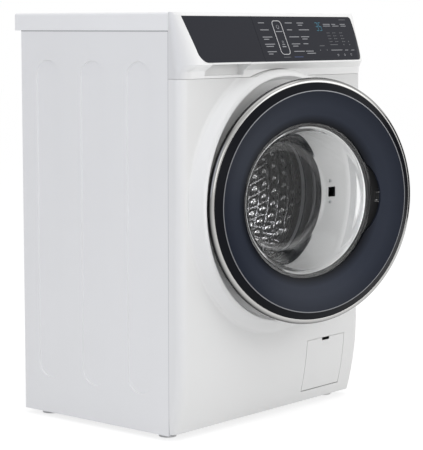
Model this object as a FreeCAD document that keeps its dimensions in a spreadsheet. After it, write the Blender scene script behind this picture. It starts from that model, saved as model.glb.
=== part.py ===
import FreeCAD, Part
import math
import os
import Sketcher

V = FreeCAD.Vector
os.makedirs("parts", exist_ok=True)
doc = FreeCAD.newDocument("washer")
sheet = doc.addObject("Spreadsheet::Sheet", "Sizes")

# Driving sizes in millimetres and degrees.
# X runs to the right seen from the front, Y to the back, Z up, with the floor at zero.
SIZES = {
    # cabinet
    "cabinet_width": 600.0,
    "cabinet_height": 850.0,
    "seam_front": 202.5,
    "cabinet_back": 209.5,
    "sheet": 1.0,
    "panel_foot": 10.5,
    "flange_width": 18.0,
    "cover_height": 36.0,
    "cover_overhang": 20.5,
    "cover_lip": 1.0,
    "cover_wall": 3.0,
    "cover_round": 5.0,
    "rib_width": 66.0,
    "rib_pitch": 128.0,
    "rib_middle": 4.5,
    "rib_low": 86.0,
    "rib_head": 60.0,
    "rib_depth": 2.5,
    "rib_draft": 30.0,
    "tray_base": 12.0,
    "tray_height": 22.0,
    "tray_wall": 2.0,
    "foot_inset": 38.0,
    "foot_radius": 18.0,
    "foot_pad": 8.0,
    "stud_radius": 5.0,
    "stud_top": 42.0,
    "nut_radius": 9.5,
    "thread_gap": 0.3,
    "overrun": 5.0,
    # front panel
    "face_rise": 34.5,
    "front_foot": 14.0,
    "front_drop": 130.0,
    "curve_drop": 23.5,
    "front_round": 19.0,
    "front_sheet": 1.2,
    "bulge_reach": 33.0,
    "bulge_lean": 48.0,
    "crest_reach": 1.3,
    "crest_rise": 24.3,
    "seat_inset": 6.0,
    "seat_rise": 13.0,
    "mouth_radius": 152.0,
    "mouth_depth": 14.0,
    "mouth_lap": 10.0,
    "hump_reach": 15.0,
    "seam_gap": 0.6,
    "hatch_inset": 58.0,
    "hatch_width": 132.0,
    "hatch_low": 38.0,
    "hatch_share": 0.77,
    "hatch_gap": 1.6,
    "hatch_rebate": 2.0,
    "hatch_slot": 26.0,
    "hatch_slot_high": 5.5,
    "hatch_axis_rise": 13.5,
    "hatch_pin": 2.0,
    "hatch_lug": 8.0,
    "hatch_ear": 20.0,
    # control fascia
    "lip_drop": 102.0,
    "lip_rise": 22.0,
    "lip_round": 47.0,
    "cove_rise": 15.0,
    "cove_reach": 2.0,
    "brow_drop": 5.0,
    "brow_reach": 13.9,
    "brow_round": 13.0,
    "crown_reach": 9.0,
    "crown_round": 8.5,
    "fascia_wall": 2.5,
    "window_lip": 3.0,
    "window_brow": 2.0,
    "window_side_left": 21.0,
    "window_side_right": 20.5,
    "window_lean_left": 13.0,
    "window_lean_right": 2.0,
    "window_round_left": 26.0,
    "window_round_right": 20.0,
    "window_round_top": 8.0,
    "window_rebate": 2.0,
    "drawer_split": -64.0,
    "drawer_gap": 0.7,
    "grip_inset": 68.0,
    "grip_width": 120.0,
    "grip_drop": 124.0,
    "grip_depth": 16.0,
    "key_across": 12.0,
    "key_drop": 50.5,
    "key_long": 76.0,
    "key_wide": 31.0,
    "key_round": 9.0,
    "key_line": 1.2,
    "key_proud": 0.5,
    "board_inset": 20.0,
    "board_gap": 4.0,
    # drawer
    "drawer_inset": 50.0,
    "drawer_side": 20.0,
    "drawer_drop": 93.0,
    "drawer_depth": 49.0,
    "drawer_long": 168.5,
    "drawer_wall": 2.0,
    "drawer_front_wall": 14.0,
    "housing_gap": 1.0,
    "housing_wall": 2.5,
    "housing_reach": 9.5,
    "housing_tail": 4.0,
    "tab_start": 30.0,
    "tab_long": 30.0,
    "tab_high": 20.0,
    # door
    "door_radius": 252.0,
    "door_ajar": 17.33,
    "door_gap": 1.5,
    "hinge_inset": 9.0,
    "hinge_rise": 5.2,
    "trim_side": 4.2,
    "trim_round": 10.0,
    "trim_bow": 7.0,
    "trim_wall": 2.4,
    "trim_edge": 0.5,
    "accent_inset": 26.0,
    "accent_rise": 7.5,
    "accent_wide": 1.8,
    "accent_deep": 2.0,
    "cover_skin": 4.0,
    "window_reach": 7.5,
    "window_step": 2.7,
    "glass_rise": 1.2,
    "glass_thick": 4.2,
    "glass_lap": 2.5,
    "bowl_gap": 5.0,
    "bowl_neck_rise": 3.0,
    "bowl_depth": 85.0,
    "bowl_taper": 29.0,
    "bowl_wall": 4.5,
    "bowl_dome": 9.0,
    "frame_inset": 12.0,
    "frame_step": 1.2,
    "frame_skirt": 7.0,
    "frame_wall": 4.0,
    "frame_lap": 0.5,
    "frame_rise": 6.0,
    "scoop_depth": 18.5,
    "scoop_half": 75.0,
    "knuckle_radius": 4.2,
    "knuckle_half": 18.0,
    "leaf_half": 30.0,
    "pin_radius": 2.0,
    "running_fit": 0.05,
    "arm_inset": 14.0,
    "arm_width": 13.0,
    "arm_half": 3.5,
    "arm_gap": 3.0,
    "plate_reach": 24.0,
    "plate_half": 40.0,
    "hook_reach": 31.0,
    "hook_half": 8.0,
    "hook_pivot_rise": 17.0,
    "hook_shy": 2.0,
    "hook_thick": 6.0,
    "hook_nose": 4.0,
    "hook_lug": 5.0,
    "lock_inner": 18.0,
    "lock_outer": 22.0,
    "lock_half": 38.0,
    "lock_wall": 7.0,
    "lock_gap": 3.0,
    # drum and tub
    "tub_radius": 255.0,
    "tub_wall": 3.0,
    "tub_shy": 19.5,
    "tub_tail": 88.5,
    "tub_split": 40.0,
    "flange_reach": 10.0,
    "neck_reach": 8.0,
    "neck_long": 9.0,
    "seal_wall": 3.5,
    "seal_lip": 5.0,
    "seal_clip": 9.0,
    "seal_fold": 13.0,
    "drum_gap": 17.0,
    "drum_shy": 18.0,
    "drum_tail": 16.0,
    "drum_sheet": 1.0,
    "drum_lip": 2.0,
    "drum_rim": 5.0,
    "paddle_height": 62.0,
    "paddle_width": 56.0,
    "paddle_lap": 4.0,
    "paddle_crown": 8.0,
    "paddle_end": 12.0,
    "spider_thick": 8.0,
    "spider_half": 18.0,
    "hub_radius": 46.0,
    "hub_long": 39.0,
    "bearing_radius": 26.0,
    "bearing_wide": 15.0,
    "bearing_shy": 1.0,
    "shaft_radius": 12.5,
    "shaft_end": 32.0,
    "pulley_radius": 140.0,
    "pulley_gap": 3.0,
    "pulley_wide": 22.0,
    "pulley_rim": 8.0,
    "pulley_web": 6.0,
    "motor_angle": 30.0,
    "motor_gap": 28.0,
    "motor_radius": 52.0,
    "motor_tail": 16.0,
    "motor_long": 117.0,
    "motor_shaft": 7.0,
    "motor_bore": 57.0,
    "motor_pulley": 11.0,
    "motor_arm": 22.0,
    "motor_arm_inset": 20.0,
    "belt_gap": 0.3,
    "belt_thick": 4.0,
    "belt_edge": 2.0,
    "weight_reach": 18.0,
    "weight_inset": 7.0,
    "weight_thick": 30.0,
    "spring_inset": 10.0,
    "spring_place": 70.0,
    "spring_rise": 122.0,
    "spring_coil": 11.0,
    "spring_wire": 2.0,
    "spring_pitch": 12.0,
    "lug_half": 13.0,
    "lug_deep": 16.0,
    "lug_high": 40.0,
    "brace_drop": 16.0,
    "brace_thick": 10.0,
    "brace_wide": 20.0,
    "damper_place": -20.0,
    "damper_inset": 85.0,
    "damper_reach": 105.0,
    "damper_tube": 15.0,
    "damper_rod": 6.0,
    "shoe_half": 18.0,
    "shoe_high": 16.0,
    "heater_rod": 3.5,
    "heater_half": 18.0,
    "heater_gap": 9.0,
    "heater_shy": 20.0,
    "heater_plug": 8.0,
    "heater_plug_deep": 14.0,
    # water
    "filter_inset": 124.0,
    "filter_radius": 34.0,
    "filter_bore": 26.0,
    "filter_shy": 6.5,
    "filter_long": 86.0,
    "filter_floor": 8.0,
    "knob_thick": 10.0,
    "knob_lap": 4.0,
    "knob_bar": 10.0,
    "knob_bar_high": 6.0,
    "pump_radius": 30.0,
    "pump_long": 70.0,
    "sump_radius": 18.0,
    "fill_radius": 16.0,
    "hose_inset": 38.0,
    "hose_radius": 11.0,
    "hose_lap": 8.0,
    "inlet_inset": 95.0,
    "inlet_drop": 64.0,
    "inlet_radius": 13.2,
    "inlet_reach": 16.0,
    "valve_long": 59.5,
    "valve_half": 26.0,
    "valve_rise": 21.0,
    "rear_inset": 8.0,
    "gland_inset": 70.0,
    "gland_drop": 150.0,
    "gland_radius": 12.0,
    "gland_tail": 4.0,
    "cap_inset": 160.0,
    "cap_low": 300.0,
    "cap_drop": 210.0,
    "cap_radius": 14.0,
    "cap_thick": 3.0,
    "screw_radius": 4.0,
    "screw_head": 2.0,
}

# Sizes that follow from the driving ones, as sheet formulas.
FOLLOWS = {
    # cabinet
    "half_width": "cabinet_width / 2",
    "inside": "half_width - sheet",
    "rim": "cabinet_height - cover_height",
    "rib_high": "rim - rib_head",
    # front panel
    "front_face": "seam_front + face_rise",
    "front_top": "cabinet_height - front_drop",
    "cove_high": "front_top + cove_rise",
    "hump_radius": "door_radius + hump_reach",
    "door_height": "cove_high - hump_radius",
    "bulge_base": "door_radius + bulge_reach",
    "curve_start": "door_height - bulge_base",
    "flank_sine": "sin(bulge_lean)",
    "flank_cosine": "cos(bulge_lean)",
    "crest_radius": "door_radius + crest_reach",
    "crest_front": "front_face + crest_rise",
    "seat_radius": "door_radius - seat_inset",
    "seat_front": "front_face + seat_rise",
    "mouth_front": "front_face + sheet",
    "mouth_back": "mouth_front - mouth_depth",
    "hatch_right": "half_width - hatch_inset",
    "hatch_left": "hatch_right - hatch_width",
    "hatch_high": "hatch_low + (curve_start - hatch_low) * hatch_share",
    "hatch_axis_front": "seam_front + hatch_axis_rise",
    "hatch_axis_high": "hatch_low + hatch_pin * 2",
    # control fascia
    "lip_high": "cabinet_height - lip_drop",
    "lip_front": "front_face + lip_rise",
    "cove_front": "front_face + cove_reach",
    "brow_high": "cabinet_height - brow_drop",
    "brow_front": "seam_front + brow_reach",
    "crown_front": "seam_front + crown_reach",
    "window_low": "lip_high + window_lip",
    "window_high": "brow_high - window_brow",
    "window_left": "half_width - window_side_left",
    "window_left_low": "window_left - window_lean_left",
    "window_right": "half_width - window_side_right",
    "window_right_low": "window_right - window_lean_right",
    "grip_left": "grip_inset - half_width",
    "grip_right": "grip_left + grip_width",
    "grip_low": "cabinet_height - grip_drop",
    "key_high": "cabinet_height - key_drop",
    # drawer
    "tray_left": "drawer_inset - half_width",
    "tray_right": "drawer_split - drawer_side",
    "drawer_low": "cabinet_height - drawer_drop",
    "drawer_high": "drawer_low + drawer_depth",
    "drawer_back": "drawer_long - seam_front",
    "housing_front": "seam_front + housing_reach",
    # door
    "hinge_across": "door_radius - hinge_inset",
    "hinge_front": "crest_front + hinge_rise",
    "trim_back": "crest_front + door_gap",
    "trim_shoulder": "trim_back + trim_side",
    "trim_inner": "door_radius - trim_round",
    "trim_front": "trim_shoulder + trim_bow",
    "accent_radius": "door_radius - accent_inset",
    "accent_front": "trim_front + accent_rise",
    "window_radius": "mouth_radius + window_reach",
    "glass_front": "seat_front + glass_rise",
    "glass_back": "glass_front - glass_thick",
    "glass_rim": "window_radius + glass_lap",
    "window_front": "glass_front + window_step",
    "bowl_radius": "mouth_radius - bowl_gap",
    "bowl_neck": "front_face + bowl_neck_rise",
    "bowl_end": "front_face - bowl_depth",
    "bowl_end_radius": "bowl_radius - bowl_taper",
    "frame_radius": "door_radius - frame_inset",
    "frame_top": "trim_back + frame_step",
    "frame_inner": "mouth_radius + frame_lap",
    "frame_back": "front_face + frame_rise",
    "scoop_reach": "window_radius + scoop_depth",
    "hook_across": "mouth_radius + hook_reach",
    "hook_pivot": "front_face + hook_pivot_rise",
    "hook_tip": "mouth_back + hook_shy",
    # drum and tub
    "tub_front": "seam_front - tub_shy",
    "tub_back": "cabinet_back - tub_tail",
    "tub_out": "tub_radius + tub_wall",
    "neck_radius": "mouth_radius + neck_reach",
    "neck_front": "tub_front + neck_long",
    "drum_radius": "tub_radius - drum_gap",
    "drum_front": "tub_front - drum_shy",
    "drum_back": "tub_back - drum_tail",
    "drum_mouth": "mouth_radius - drum_lip",
    "hub_back": "tub_back + hub_long",
    "shaft_back": "hub_back + shaft_end",
    "pulley_front": "hub_back + pulley_gap",
    "motor_back": "tub_back + motor_tail",
    "motor_front": "motor_back - motor_long",
    "motor_reach": "tub_out + motor_gap + motor_radius",
    "motor_across": "-motor_reach * sin(motor_angle)",
    "motor_high": "door_height - motor_reach * cos(motor_angle)",
    "weight_inner": "mouth_radius + weight_reach",
    "weight_outer": "tub_radius - weight_inset",
    "spring_across": "tub_radius - spring_inset",
    "spring_low": "door_height + spring_rise",
    "brace_low": "rim - brace_drop",
    "brace_high": "brace_low + brace_thick",
    "damper_foot": "half_width - damper_inset",
    "damper_head": "tub_radius - damper_reach",
    "heater_drop": "tub_radius - heater_gap",
    # water
    "filter_across": "half_width - filter_inset",
    "filter_high": "(hatch_low + hatch_high) / 2",
    "filter_front": "seam_front - filter_shy",
    "filter_back": "filter_front - filter_long",
    "pump_back": "filter_back - pump_long",
    "hose_start": "(filter_back + pump_back) / 2",
    "hose_across": "half_width - hose_inset",
    "inlet_across": "inlet_inset - half_width",
    "inlet_high": "cabinet_height - inlet_drop",
    "valve_front": "cabinet_back - valve_long",
    "gland_across": "half_width - gland_inset",
    "gland_high": "cabinet_height - gland_drop",
    "cap_across": "half_width - cap_inset",
    "cap_high": "cabinet_height - cap_drop",
}


def text_of(other):
    return other.text if isinstance(other, Size) else repr(float(other))


def number_of(other):
    return other.number if isinstance(other, Size) else float(other)


class Size:
    """A length that carries both its number and the sheet formula it comes from."""

    def __init__(self, number, text):
        self.number = number
        self.text = text

    def __add__(self, other):
        return Size(self.number + number_of(other), f"({self.text} + {text_of(other)})")

    def __radd__(self, other):
        return Size(number_of(other) + self.number, f"({text_of(other)} + {self.text})")

    def __sub__(self, other):
        return Size(self.number - number_of(other), f"({self.text} - {text_of(other)})")

    def __rsub__(self, other):
        return Size(number_of(other) - self.number, f"({text_of(other)} - {self.text})")

    def __mul__(self, other):
        return Size(self.number * number_of(other), f"({self.text} * {text_of(other)})")

    def __rmul__(self, other):
        return self * other

    def __truediv__(self, other):
        return Size(self.number / number_of(other), f"({self.text} / {text_of(other)})")

    def __neg__(self):
        return Size(-self.number, f"(0 - {self.text})")


def root(size):
    return Size(math.sqrt(size.number), f"sqrt({size.text})")


class Table:
    pass


d = Table()
rows = {alias: str(value) for alias, value in SIZES.items()}
rows.update({alias: "=" + formula for alias, formula in FOLLOWS.items()})
for row, (alias, content) in enumerate(rows.items(), start=1):
    sheet.set(f"A{row}", alias)
    sheet.set(f"B{row}", content)
    sheet.setAlias(f"B{row}", alias)
doc.recompute()
for alias in rows:
    setattr(d, alias, Size(float(sheet.get(alias)), f"Sizes.{alias}"))
NIL = d.sheet * 0

pieces = []


def drive(thing, prop, size):
    """Bind one property to the sheet, or set it when it is a plain number."""
    if isinstance(size, Size):
        thing.setExpression(prop, size.text)
    elif prop.startswith("Placement.Base.") or prop.startswith("AttachmentOffset.Base."):
        thing.setExpression(prop, repr(float(size)))
    else:
        setattr(thing, prop, size)


def move(thing, x=0.0, y=0.0, z=0.0):
    for axis, size in (("x", x), ("y", y), ("z", z)):
        drive(thing, f"Placement.Base.{axis}", size)
    return thing


def keep(thing, label):
    """Mark a finished sub-part; its label is its file name."""
    thing.Label = label
    pieces.append(thing)
    return thing


# Sketches

def plane_of(body, role):
    return [feature for feature in body.Origin.OriginFeatures if feature.Role == role][0]


def sketch_on(body, role, offset=None):
    drawing = body.newObject("Sketcher::SketchObject", body.Name + "_sketch")
    drawing.AttachmentSupport = (plane_of(body, role), "")
    drawing.MapMode = "FlatFace"
    if offset is not None:
        drive(drawing, "AttachmentOffset.Base.z", offset)
    return drawing


def hold(drawing, kind, index, end, size):
    row = drawing.addConstraint(Sketcher.Constraint(kind, -1, 1, index, end, number_of(size)))
    if isinstance(size, Size):
        drawing.setExpression(f"Constraints[{row}]", size.text)


def pin_point(drawing, index, end, across, up):
    """Hold one end of a line or arc at its distances from the sketch origin."""
    hold(drawing, "DistanceX", index, end, across)
    hold(drawing, "DistanceY", index, end, up)


def outline(drawing, points):
    """A closed loop of corners (across, up); a third value is the radius of the arc that arrives
    at the corner, positive where it turns to the left. A half circle is held by its centre."""
    count = len(points)
    spots = [V(number_of(p[0]), number_of(p[1]), 0) for p in points]
    sides = []
    for step in range(count):
        start = spots[step - 1]
        finish = spots[step]
        if len(points[step]) == 2:
            index = drawing.addGeometry(Part.LineSegment(start, finish), False)
            sides.append((index, 1, 2))
            continue
        radius = abs(number_of(points[step][2]))
        left = number_of(points[step][2]) > 0
        chord = finish - start
        rise = math.sqrt(max(radius ** 2 - (chord.Length / 2) ** 2, 0.0))
        normal = V(-chord.y, chord.x, 0).normalize()
        centre = (start + finish) * 0.5 + normal * (rise if left else -rise)
        first, last = (start, finish) if left else (finish, start)
        low = math.atan2(first.y - centre.y, first.x - centre.x)
        high = math.atan2(last.y - centre.y, last.x - centre.x)
        if high < low:
            high += 2 * math.pi
        ring = Part.Circle(centre, V(0, 0, 1), radius)
        index = drawing.addGeometry(Part.ArcOfCircle(ring, low, high), False)
        sides.append((index, 1, 2) if left else (index, 2, 1))
        if len(points[step]) == 4:
            hold(drawing, "DistanceY", index, 3, points[step][1])
            continue
        size = points[step][2] if left else -points[step][2]
        row = drawing.addConstraint(Sketcher.Constraint("Radius", index, radius))
        if isinstance(size, Size):
            drawing.setExpression(f"Constraints[{row}]", size.text)
    for step in range(count):
        index, begin, end = sides[step]
        following = sides[(step + 1) % count]
        drawing.addConstraint(Sketcher.Constraint("Coincident", index, end, following[0], following[1]))
        pin_point(drawing, index, end, points[step][0], points[step][1])
    return drawing


def ring(drawing, across, up, radius):
    circle = Part.Circle(V(number_of(across), number_of(up), 0), V(0, 0, 1), number_of(radius))
    index = drawing.addGeometry(circle, False)
    row = drawing.addConstraint(Sketcher.Constraint("Radius", index, number_of(radius)))
    if isinstance(radius, Size):
        drawing.setExpression(f"Constraints[{row}]", radius.text)
    pin_point(drawing, index, 3, across, up)
    return drawing


def oblong(left, right, low, high):
    return [(left, low), (right, low), (right, high), (left, high)]


def racetrack(centre, low, high, width):
    """A tall slot with round ends."""
    half = width / 2
    return [
        (centre - half, low + half),
        (centre + half, low + half, half, "half circle"),
        (centre + half, high - half),
        (centre - half, high - half, half, "half circle"),
    ]


def rounded(across, along, radius):
    """An upright oblong about the middle, with round corners."""
    return [
        (-across, radius - along),
        (radius - across, -along, radius),
        (across - radius, -along),
        (across, radius - along, radius),
        (across, along - radius),
        (across - radius, along, radius),
        (radius - across, along),
        (-across, along - radius, radius),
    ]


# Features

def body_of(name):
    return doc.addObject("PartDesign::Body", name)


def pad(body, drawing, length, midplane=False, reverse=False):
    feature = body.newObject("PartDesign::Pad", body.Name + "_pad")
    feature.Profile = drawing
    drive(feature, "Length", length)
    feature.Midplane = midplane
    feature.Reversed = reverse
    body.Tip = feature
    return feature


def pocket(body, drawing, length, reverse=False, midplane=False):
    feature = body.newObject("PartDesign::Pocket", body.Name + "_pocket")
    feature.Profile = drawing
    drive(feature, "Length", length)
    feature.Midplane = midplane
    feature.Reversed = reverse
    body.Tip = feature
    return feature


def turned(name, points):
    """A body turned about its own Y axis from a half section of (radius, y) corners."""
    body = body_of(name)
    drawing = outline(sketch_on(body, "XY_Plane"), points)
    feature = body.newObject("PartDesign::Revolution", name + "_turn")
    feature.Profile = drawing
    feature.ReferenceAxis = (drawing, ["V_Axis"])
    feature.Angle = 360
    body.Tip = feature
    return body


def prism(name, role, points, start, length):
    """A straight bar: the outline stands on a plane at `start` and runs on for `length`."""
    body = body_of(name)
    pad(body, outline(sketch_on(body, role, start), points), length)
    return body


def round_edges(body, radius, chosen):
    doc.recompute()
    base = body.Tip
    names = [f"Edge{n}" for n, edge in enumerate(base.Shape.Edges, start=1) if chosen(edge)]
    feature = body.newObject("PartDesign::Fillet", body.Name + "_round")
    feature.Base = (base, names)
    drive(feature, "Radius", radius)
    body.Tip = feature
    return feature


def block(name, x_low, x_high, y_low, y_high, z_low, z_high):
    box = doc.addObject("Part::Box", name)
    drive(box, "Length", x_high - x_low)
    drive(box, "Width", y_high - y_low)
    drive(box, "Height", z_high - z_low)
    return move(box, x_low, y_low, z_low)


ALONG_Y = FreeCAD.Rotation(V(1, 0, 0), -90)
ALONG_X = FreeCAD.Rotation(V(0, 1, 0), 90)
UPRIGHT = FreeCAD.Rotation()


def rod(name, radius, length, x=0.0, y=0.0, z=0.0, turn=ALONG_Y):
    cylinder = doc.addObject("Part::Cylinder", name)
    drive(cylinder, "Radius", radius)
    drive(cylinder, "Height", length)
    cylinder.Placement = FreeCAD.Placement(V(), turn)
    return move(cylinder, x, y, z)


def cut(name, base, *tools):
    result = doc.addObject("Part::Cut", name)
    result.Base = base
    result.Tool = tools[0] if len(tools) == 1 else fuse(name + "_tools", *tools)
    return result


def fuse(name, *shapes):
    result = doc.addObject("Part::MultiFuse", name)
    result.Shapes = list(shapes)
    result.Refine = True
    return result


def common(name, *shapes):
    result = doc.addObject("Part::MultiCommon", name)
    result.Shapes = list(shapes)
    return result


def gather(name, *shapes):
    result = doc.addObject("Part::Compound", name)
    result.Links = list(shapes)
    return result


# Cabinet sides: a pressed sheet with flanges and three racetrack ribs
def side_panel(label, side):
    body = body_of(label)
    outer = d.half_width * side
    inner = d.inside * side
    lip = (d.inside - d.flange_width) * side
    channel = [
        (outer, -d.seam_front),
        (lip, -d.seam_front),
        (lip, -d.seam_front + d.sheet),
        (inner, -d.seam_front + d.sheet),
        (inner, d.cabinet_back - d.sheet),
        (lip, d.cabinet_back - d.sheet),
        (lip, d.cabinet_back),
        (outer, d.cabinet_back),
    ]
    pad(body, outline(sketch_on(body, "XY_Plane", d.panel_foot), channel), d.rim - d.panel_foot)
    shelf = oblong(lip, inner, -d.seam_front + d.sheet, d.cabinet_back - d.sheet)
    pad(body, outline(sketch_on(body, "XY_Plane", d.rim - d.sheet), shelf), d.sheet)
    for place in (-1, 0, 1):
        centre = d.rib_middle + d.rib_pitch * place
        back = racetrack(centre, d.rib_low - d.sheet, d.rib_high + d.sheet, d.rib_width + d.sheet * 2)
        pad(body, outline(sketch_on(body, "YZ_Plane", inner), back), d.rib_depth, reverse=side > 0)
        face = racetrack(centre, d.rib_low, d.rib_high, d.rib_width)
        sunk = pocket(body, outline(sketch_on(body, "YZ_Plane", outer), face), d.rib_depth, reverse=side < 0)
        drive(sunk, "TaperAngle", -d.rib_draft)
    return keep(body, label)


side_panel("left_side_panel", -1)
side_panel("right_side_panel", 1)

# Base tray with a boss for each foot
foot_across = d.half_width - d.foot_inset
foot_front = -d.seam_front + d.foot_inset
foot_back = d.cabinet_back - d.foot_inset
tray = body_of("tray_shell")
tray_front = -d.seam_front + d.sheet
tray_back = d.cabinet_back - d.sheet
pad(tray, outline(sketch_on(tray, "XY_Plane", d.tray_base),
                  oblong(-d.inside, d.inside, tray_front, tray_back)), d.tray_height)
tray_half = d.inside - d.tray_wall
hollow = oblong(-tray_half, tray_half, tray_front + d.tray_wall, tray_back - d.tray_wall)
pocket(tray, outline(sketch_on(tray, "XY_Plane", d.tray_base + d.tray_wall), hollow), d.tray_height,
       reverse=True)
corners = [(side, place) for side in (-1, 1) for place in (foot_front, foot_back)]
bosses = [rod("tray_boss", d.foot_radius, d.tray_height, foot_across * side, place, d.tray_base, UPRIGHT)
          for side, place in corners]
threads = [rod("tray_thread", d.stud_radius + d.thread_gap, d.tray_height * 3,
               foot_across * side, place, NIL, UPRIGHT) for side, place in corners]
keep(cut("tray_drilled", fuse("tray_bossed", tray, *bosses), *threads), "base_tray")

# Feet and lock nuts
nut_low = d.foot_pad + d.thread_gap
nuts = []
for side, place in corners:
    across = foot_across * side
    label = f"foot_{'front' if place is foot_front else 'back'}_{'left' if side < 0 else 'right'}"
    foot_pad = rod(label + "_pad", d.foot_radius, d.foot_pad, across, place, NIL, UPRIGHT)
    stud = rod(label + "_stud", d.stud_radius, d.stud_top, across, place, NIL, UPRIGHT)
    keep(fuse(label + "_whole", foot_pad, stud), label)
    hexagon = doc.addObject("Part::Prism", label + "_nut")
    hexagon.Polygon = 6
    drive(hexagon, "Circumradius", d.nut_radius)
    drive(hexagon, "Height", d.tray_base - nut_low)
    move(hexagon, across, place, nut_low)
    nuts.append(cut(label + "_ring", hexagon, rod(label + "_tap", d.stud_radius + d.thread_gap,
                                                 d.tray_base, across, place, NIL, UPRIGHT)))
keep(gather("nuts", *nuts), "lock_nuts")

# Top cover: a shallow lid with rounded edges, hollow underneath
lid = body_of("lid")
lid_half = d.half_width + d.cover_lip
lid_back = d.cabinet_back + d.cover_overhang
pad(lid, outline(sketch_on(lid, "XY_Plane", d.rim), oblong(-lid_half, lid_half, -d.seam_front, lid_back)),
    d.cover_height)


def lid_rim(edge):
    middle = edge.BoundBox.Center
    top = edge.BoundBox.ZMin > d.cabinet_height.number - 0.1
    upright = edge.BoundBox.ZLength > 1.0
    rear = middle.y > lid_back.number - 0.1
    sides = abs(middle.x) > lid_half.number - 0.1
    return (top and (rear or sides)) or (upright and rear)


round_edges(lid, d.cover_round, lid_rim)
pocket(lid, outline(sketch_on(lid, "XY_Plane", d.rim),
                    oblong(-lid_half + d.cover_wall, lid_half - d.cover_wall,
                           -d.seam_front + d.cover_wall, lid_back - d.cover_wall)),
       d.cover_height - d.cover_wall, reverse=True)
keep(lid, "top_cover")

# Front panel: a curved slab and a turned bulge, made once for the face and once for the hollow
bulge_rise = d.crest_front - d.front_face
bulge_run = d.bulge_base - d.crest_radius
flank_sag = 1 - d.flank_cosine
bulge_arc = (bulge_run * d.flank_sine - bulge_rise * d.flank_cosine) / (flank_sag * 2)
curve_high = d.curve_start - d.front_foot
curve_radius = (curve_high * curve_high + d.curve_drop * d.curve_drop) / (d.curve_drop * 2)


def panel_solid(name, inset, back):
    """The front panel as a full solid, drawn `inset` inside its outer face."""
    foot = d.front_foot + inset
    reach = d.curve_start - foot
    arc = curve_radius - inset
    foot_y = -d.front_face + inset + arc - root(arc * arc - reach * reach)
    face = -d.front_face + inset
    section = [
        (back, foot),
        (back, d.front_top - inset),
        (face, d.front_top - inset),
        (face, d.curve_start),
        (foot_y, foot, arc),
    ]
    slab = body_of(name + "_slab")
    half_width_in = d.half_width - inset
    pad(slab, outline(sketch_on(slab, "YZ_Plane"), section), half_width_in * 2, midplane=True)
    side_x = half_width_in.number
    limit = back.number - 1.0

    def front_corner(edge):
        box = edge.BoundBox
        return abs(abs(box.Center.x) - side_x) < 0.1 and box.ZLength > box.YLength and box.YMin < limit

    round_edges(slab, d.front_round - inset, front_corner)
    foot_arc = bulge_arc + inset
    crest_arc = bulge_arc - inset
    edge = half_width_in - d.trim_edge
    turn = d.front_round - inset
    clip = prism(name + "_clip", "XY_Plane", [
        (-edge, back),
        (-edge, face + turn),
        (-edge + turn, face, turn),
        (-edge + turn, -d.crest_front * 2),
        (edge - turn, -d.crest_front * 2),
        (edge - turn, face),
        (edge, face + turn, turn),
        (edge, back),
    ], foot, d.cabinet_height)
    swell = turned(name + "_bulge", [
        (d.mouth_radius - d.mouth_lap, back),
        (d.bulge_base, back),
        (d.bulge_base, face),
        (d.bulge_base - foot_arc * d.flank_sine, face - foot_arc * flank_sag, foot_arc),
        (d.crest_radius + crest_arc * d.flank_sine, -d.crest_front + inset + crest_arc * flank_sag),
        (d.crest_radius, -d.crest_front + inset, -crest_arc),
        (d.seat_radius - inset * 0.2, -d.seat_front + inset),
        (d.mouth_radius - d.mouth_lap, -d.mouth_front + inset),
    ])
    move(swell, z=d.door_height)
    above = block(name + "_above", -d.cabinet_width, d.cabinet_width, -d.crest_front * 2, back + d.overrun,
                  d.front_top - inset, d.cabinet_height)
    hump = rod(name + "_hump", d.hump_radius - inset, d.crest_front * 3, NIL, -d.crest_front * 2,
               d.door_height)
    swell_fit = common(name + "_swell", swell, clip)
    return cut(name, fuse(name + "_whole", slab, swell_fit), cut(name + "_trim", above, hump))


panel_outer = panel_solid("panel_outer", NIL, -d.seam_front)
panel_inner = panel_solid("panel_inner", d.front_sheet, -d.seam_front + d.overrun)
panel_shell = cut("panel_shell", panel_outer, panel_inner)
mouth = rod("mouth_hole", d.mouth_radius, d.crest_front * 2, NIL, -d.crest_front * 2, d.door_height)
collar = move(turned("mouth_collar", [
    (d.mouth_radius, -d.mouth_front),
    (d.mouth_radius + d.front_sheet, -d.mouth_front),
    (d.mouth_radius + d.front_sheet, -d.mouth_back),
    (d.mouth_radius, -d.mouth_back),
]), z=d.door_height)
hatch_hole = block("hatch_hole", d.hatch_left - d.hatch_gap, d.hatch_right + d.hatch_gap, -d.crest_front,
                   -d.seam_front - d.hatch_rebate, d.hatch_low - d.hatch_gap, d.hatch_high + d.hatch_gap)
slot_half = d.hook_half + d.lock_gap
slot_inner = d.hook_across - d.hook_thick - d.lock_gap
slot_outer = d.hook_across + d.hook_thick + d.hook_nose + d.lock_gap
lock_slot = block("lock_slot", slot_inner, slot_outer, -d.crest_front, -d.mouth_back,
                  d.door_height - slot_half, d.door_height + slot_half)
arm_low = -d.hinge_across + d.arm_inset
arm_high = arm_low + d.arm_width
arm_slot = block("arm_slot", arm_low - d.arm_gap, arm_high + d.arm_gap, -d.crest_front, -d.mouth_back,
                 d.door_height - d.knuckle_half - d.arm_gap, d.door_height + d.knuckle_half + d.arm_gap)
hatch_bearings = []
for low_side in (d.hatch_left - d.hatch_gap - d.hatch_lug, d.hatch_right + d.hatch_gap):
    ear = block("hatch_lug", low_side, low_side + d.hatch_lug, -d.front_face,
                -d.hatch_axis_front + d.hatch_pin * 2, d.hatch_axis_high - d.hatch_pin * 2,
                d.hatch_axis_high + d.hatch_pin * 2)
    hatch_bearings.append(common("hatch_bearing", ear, panel_inner))
hatch_bore = rod("hatch_bore", d.hatch_pin + d.running_fit, d.cabinet_width, -d.half_width,
                 -d.hatch_axis_front, d.hatch_axis_high, ALONG_X)
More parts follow.
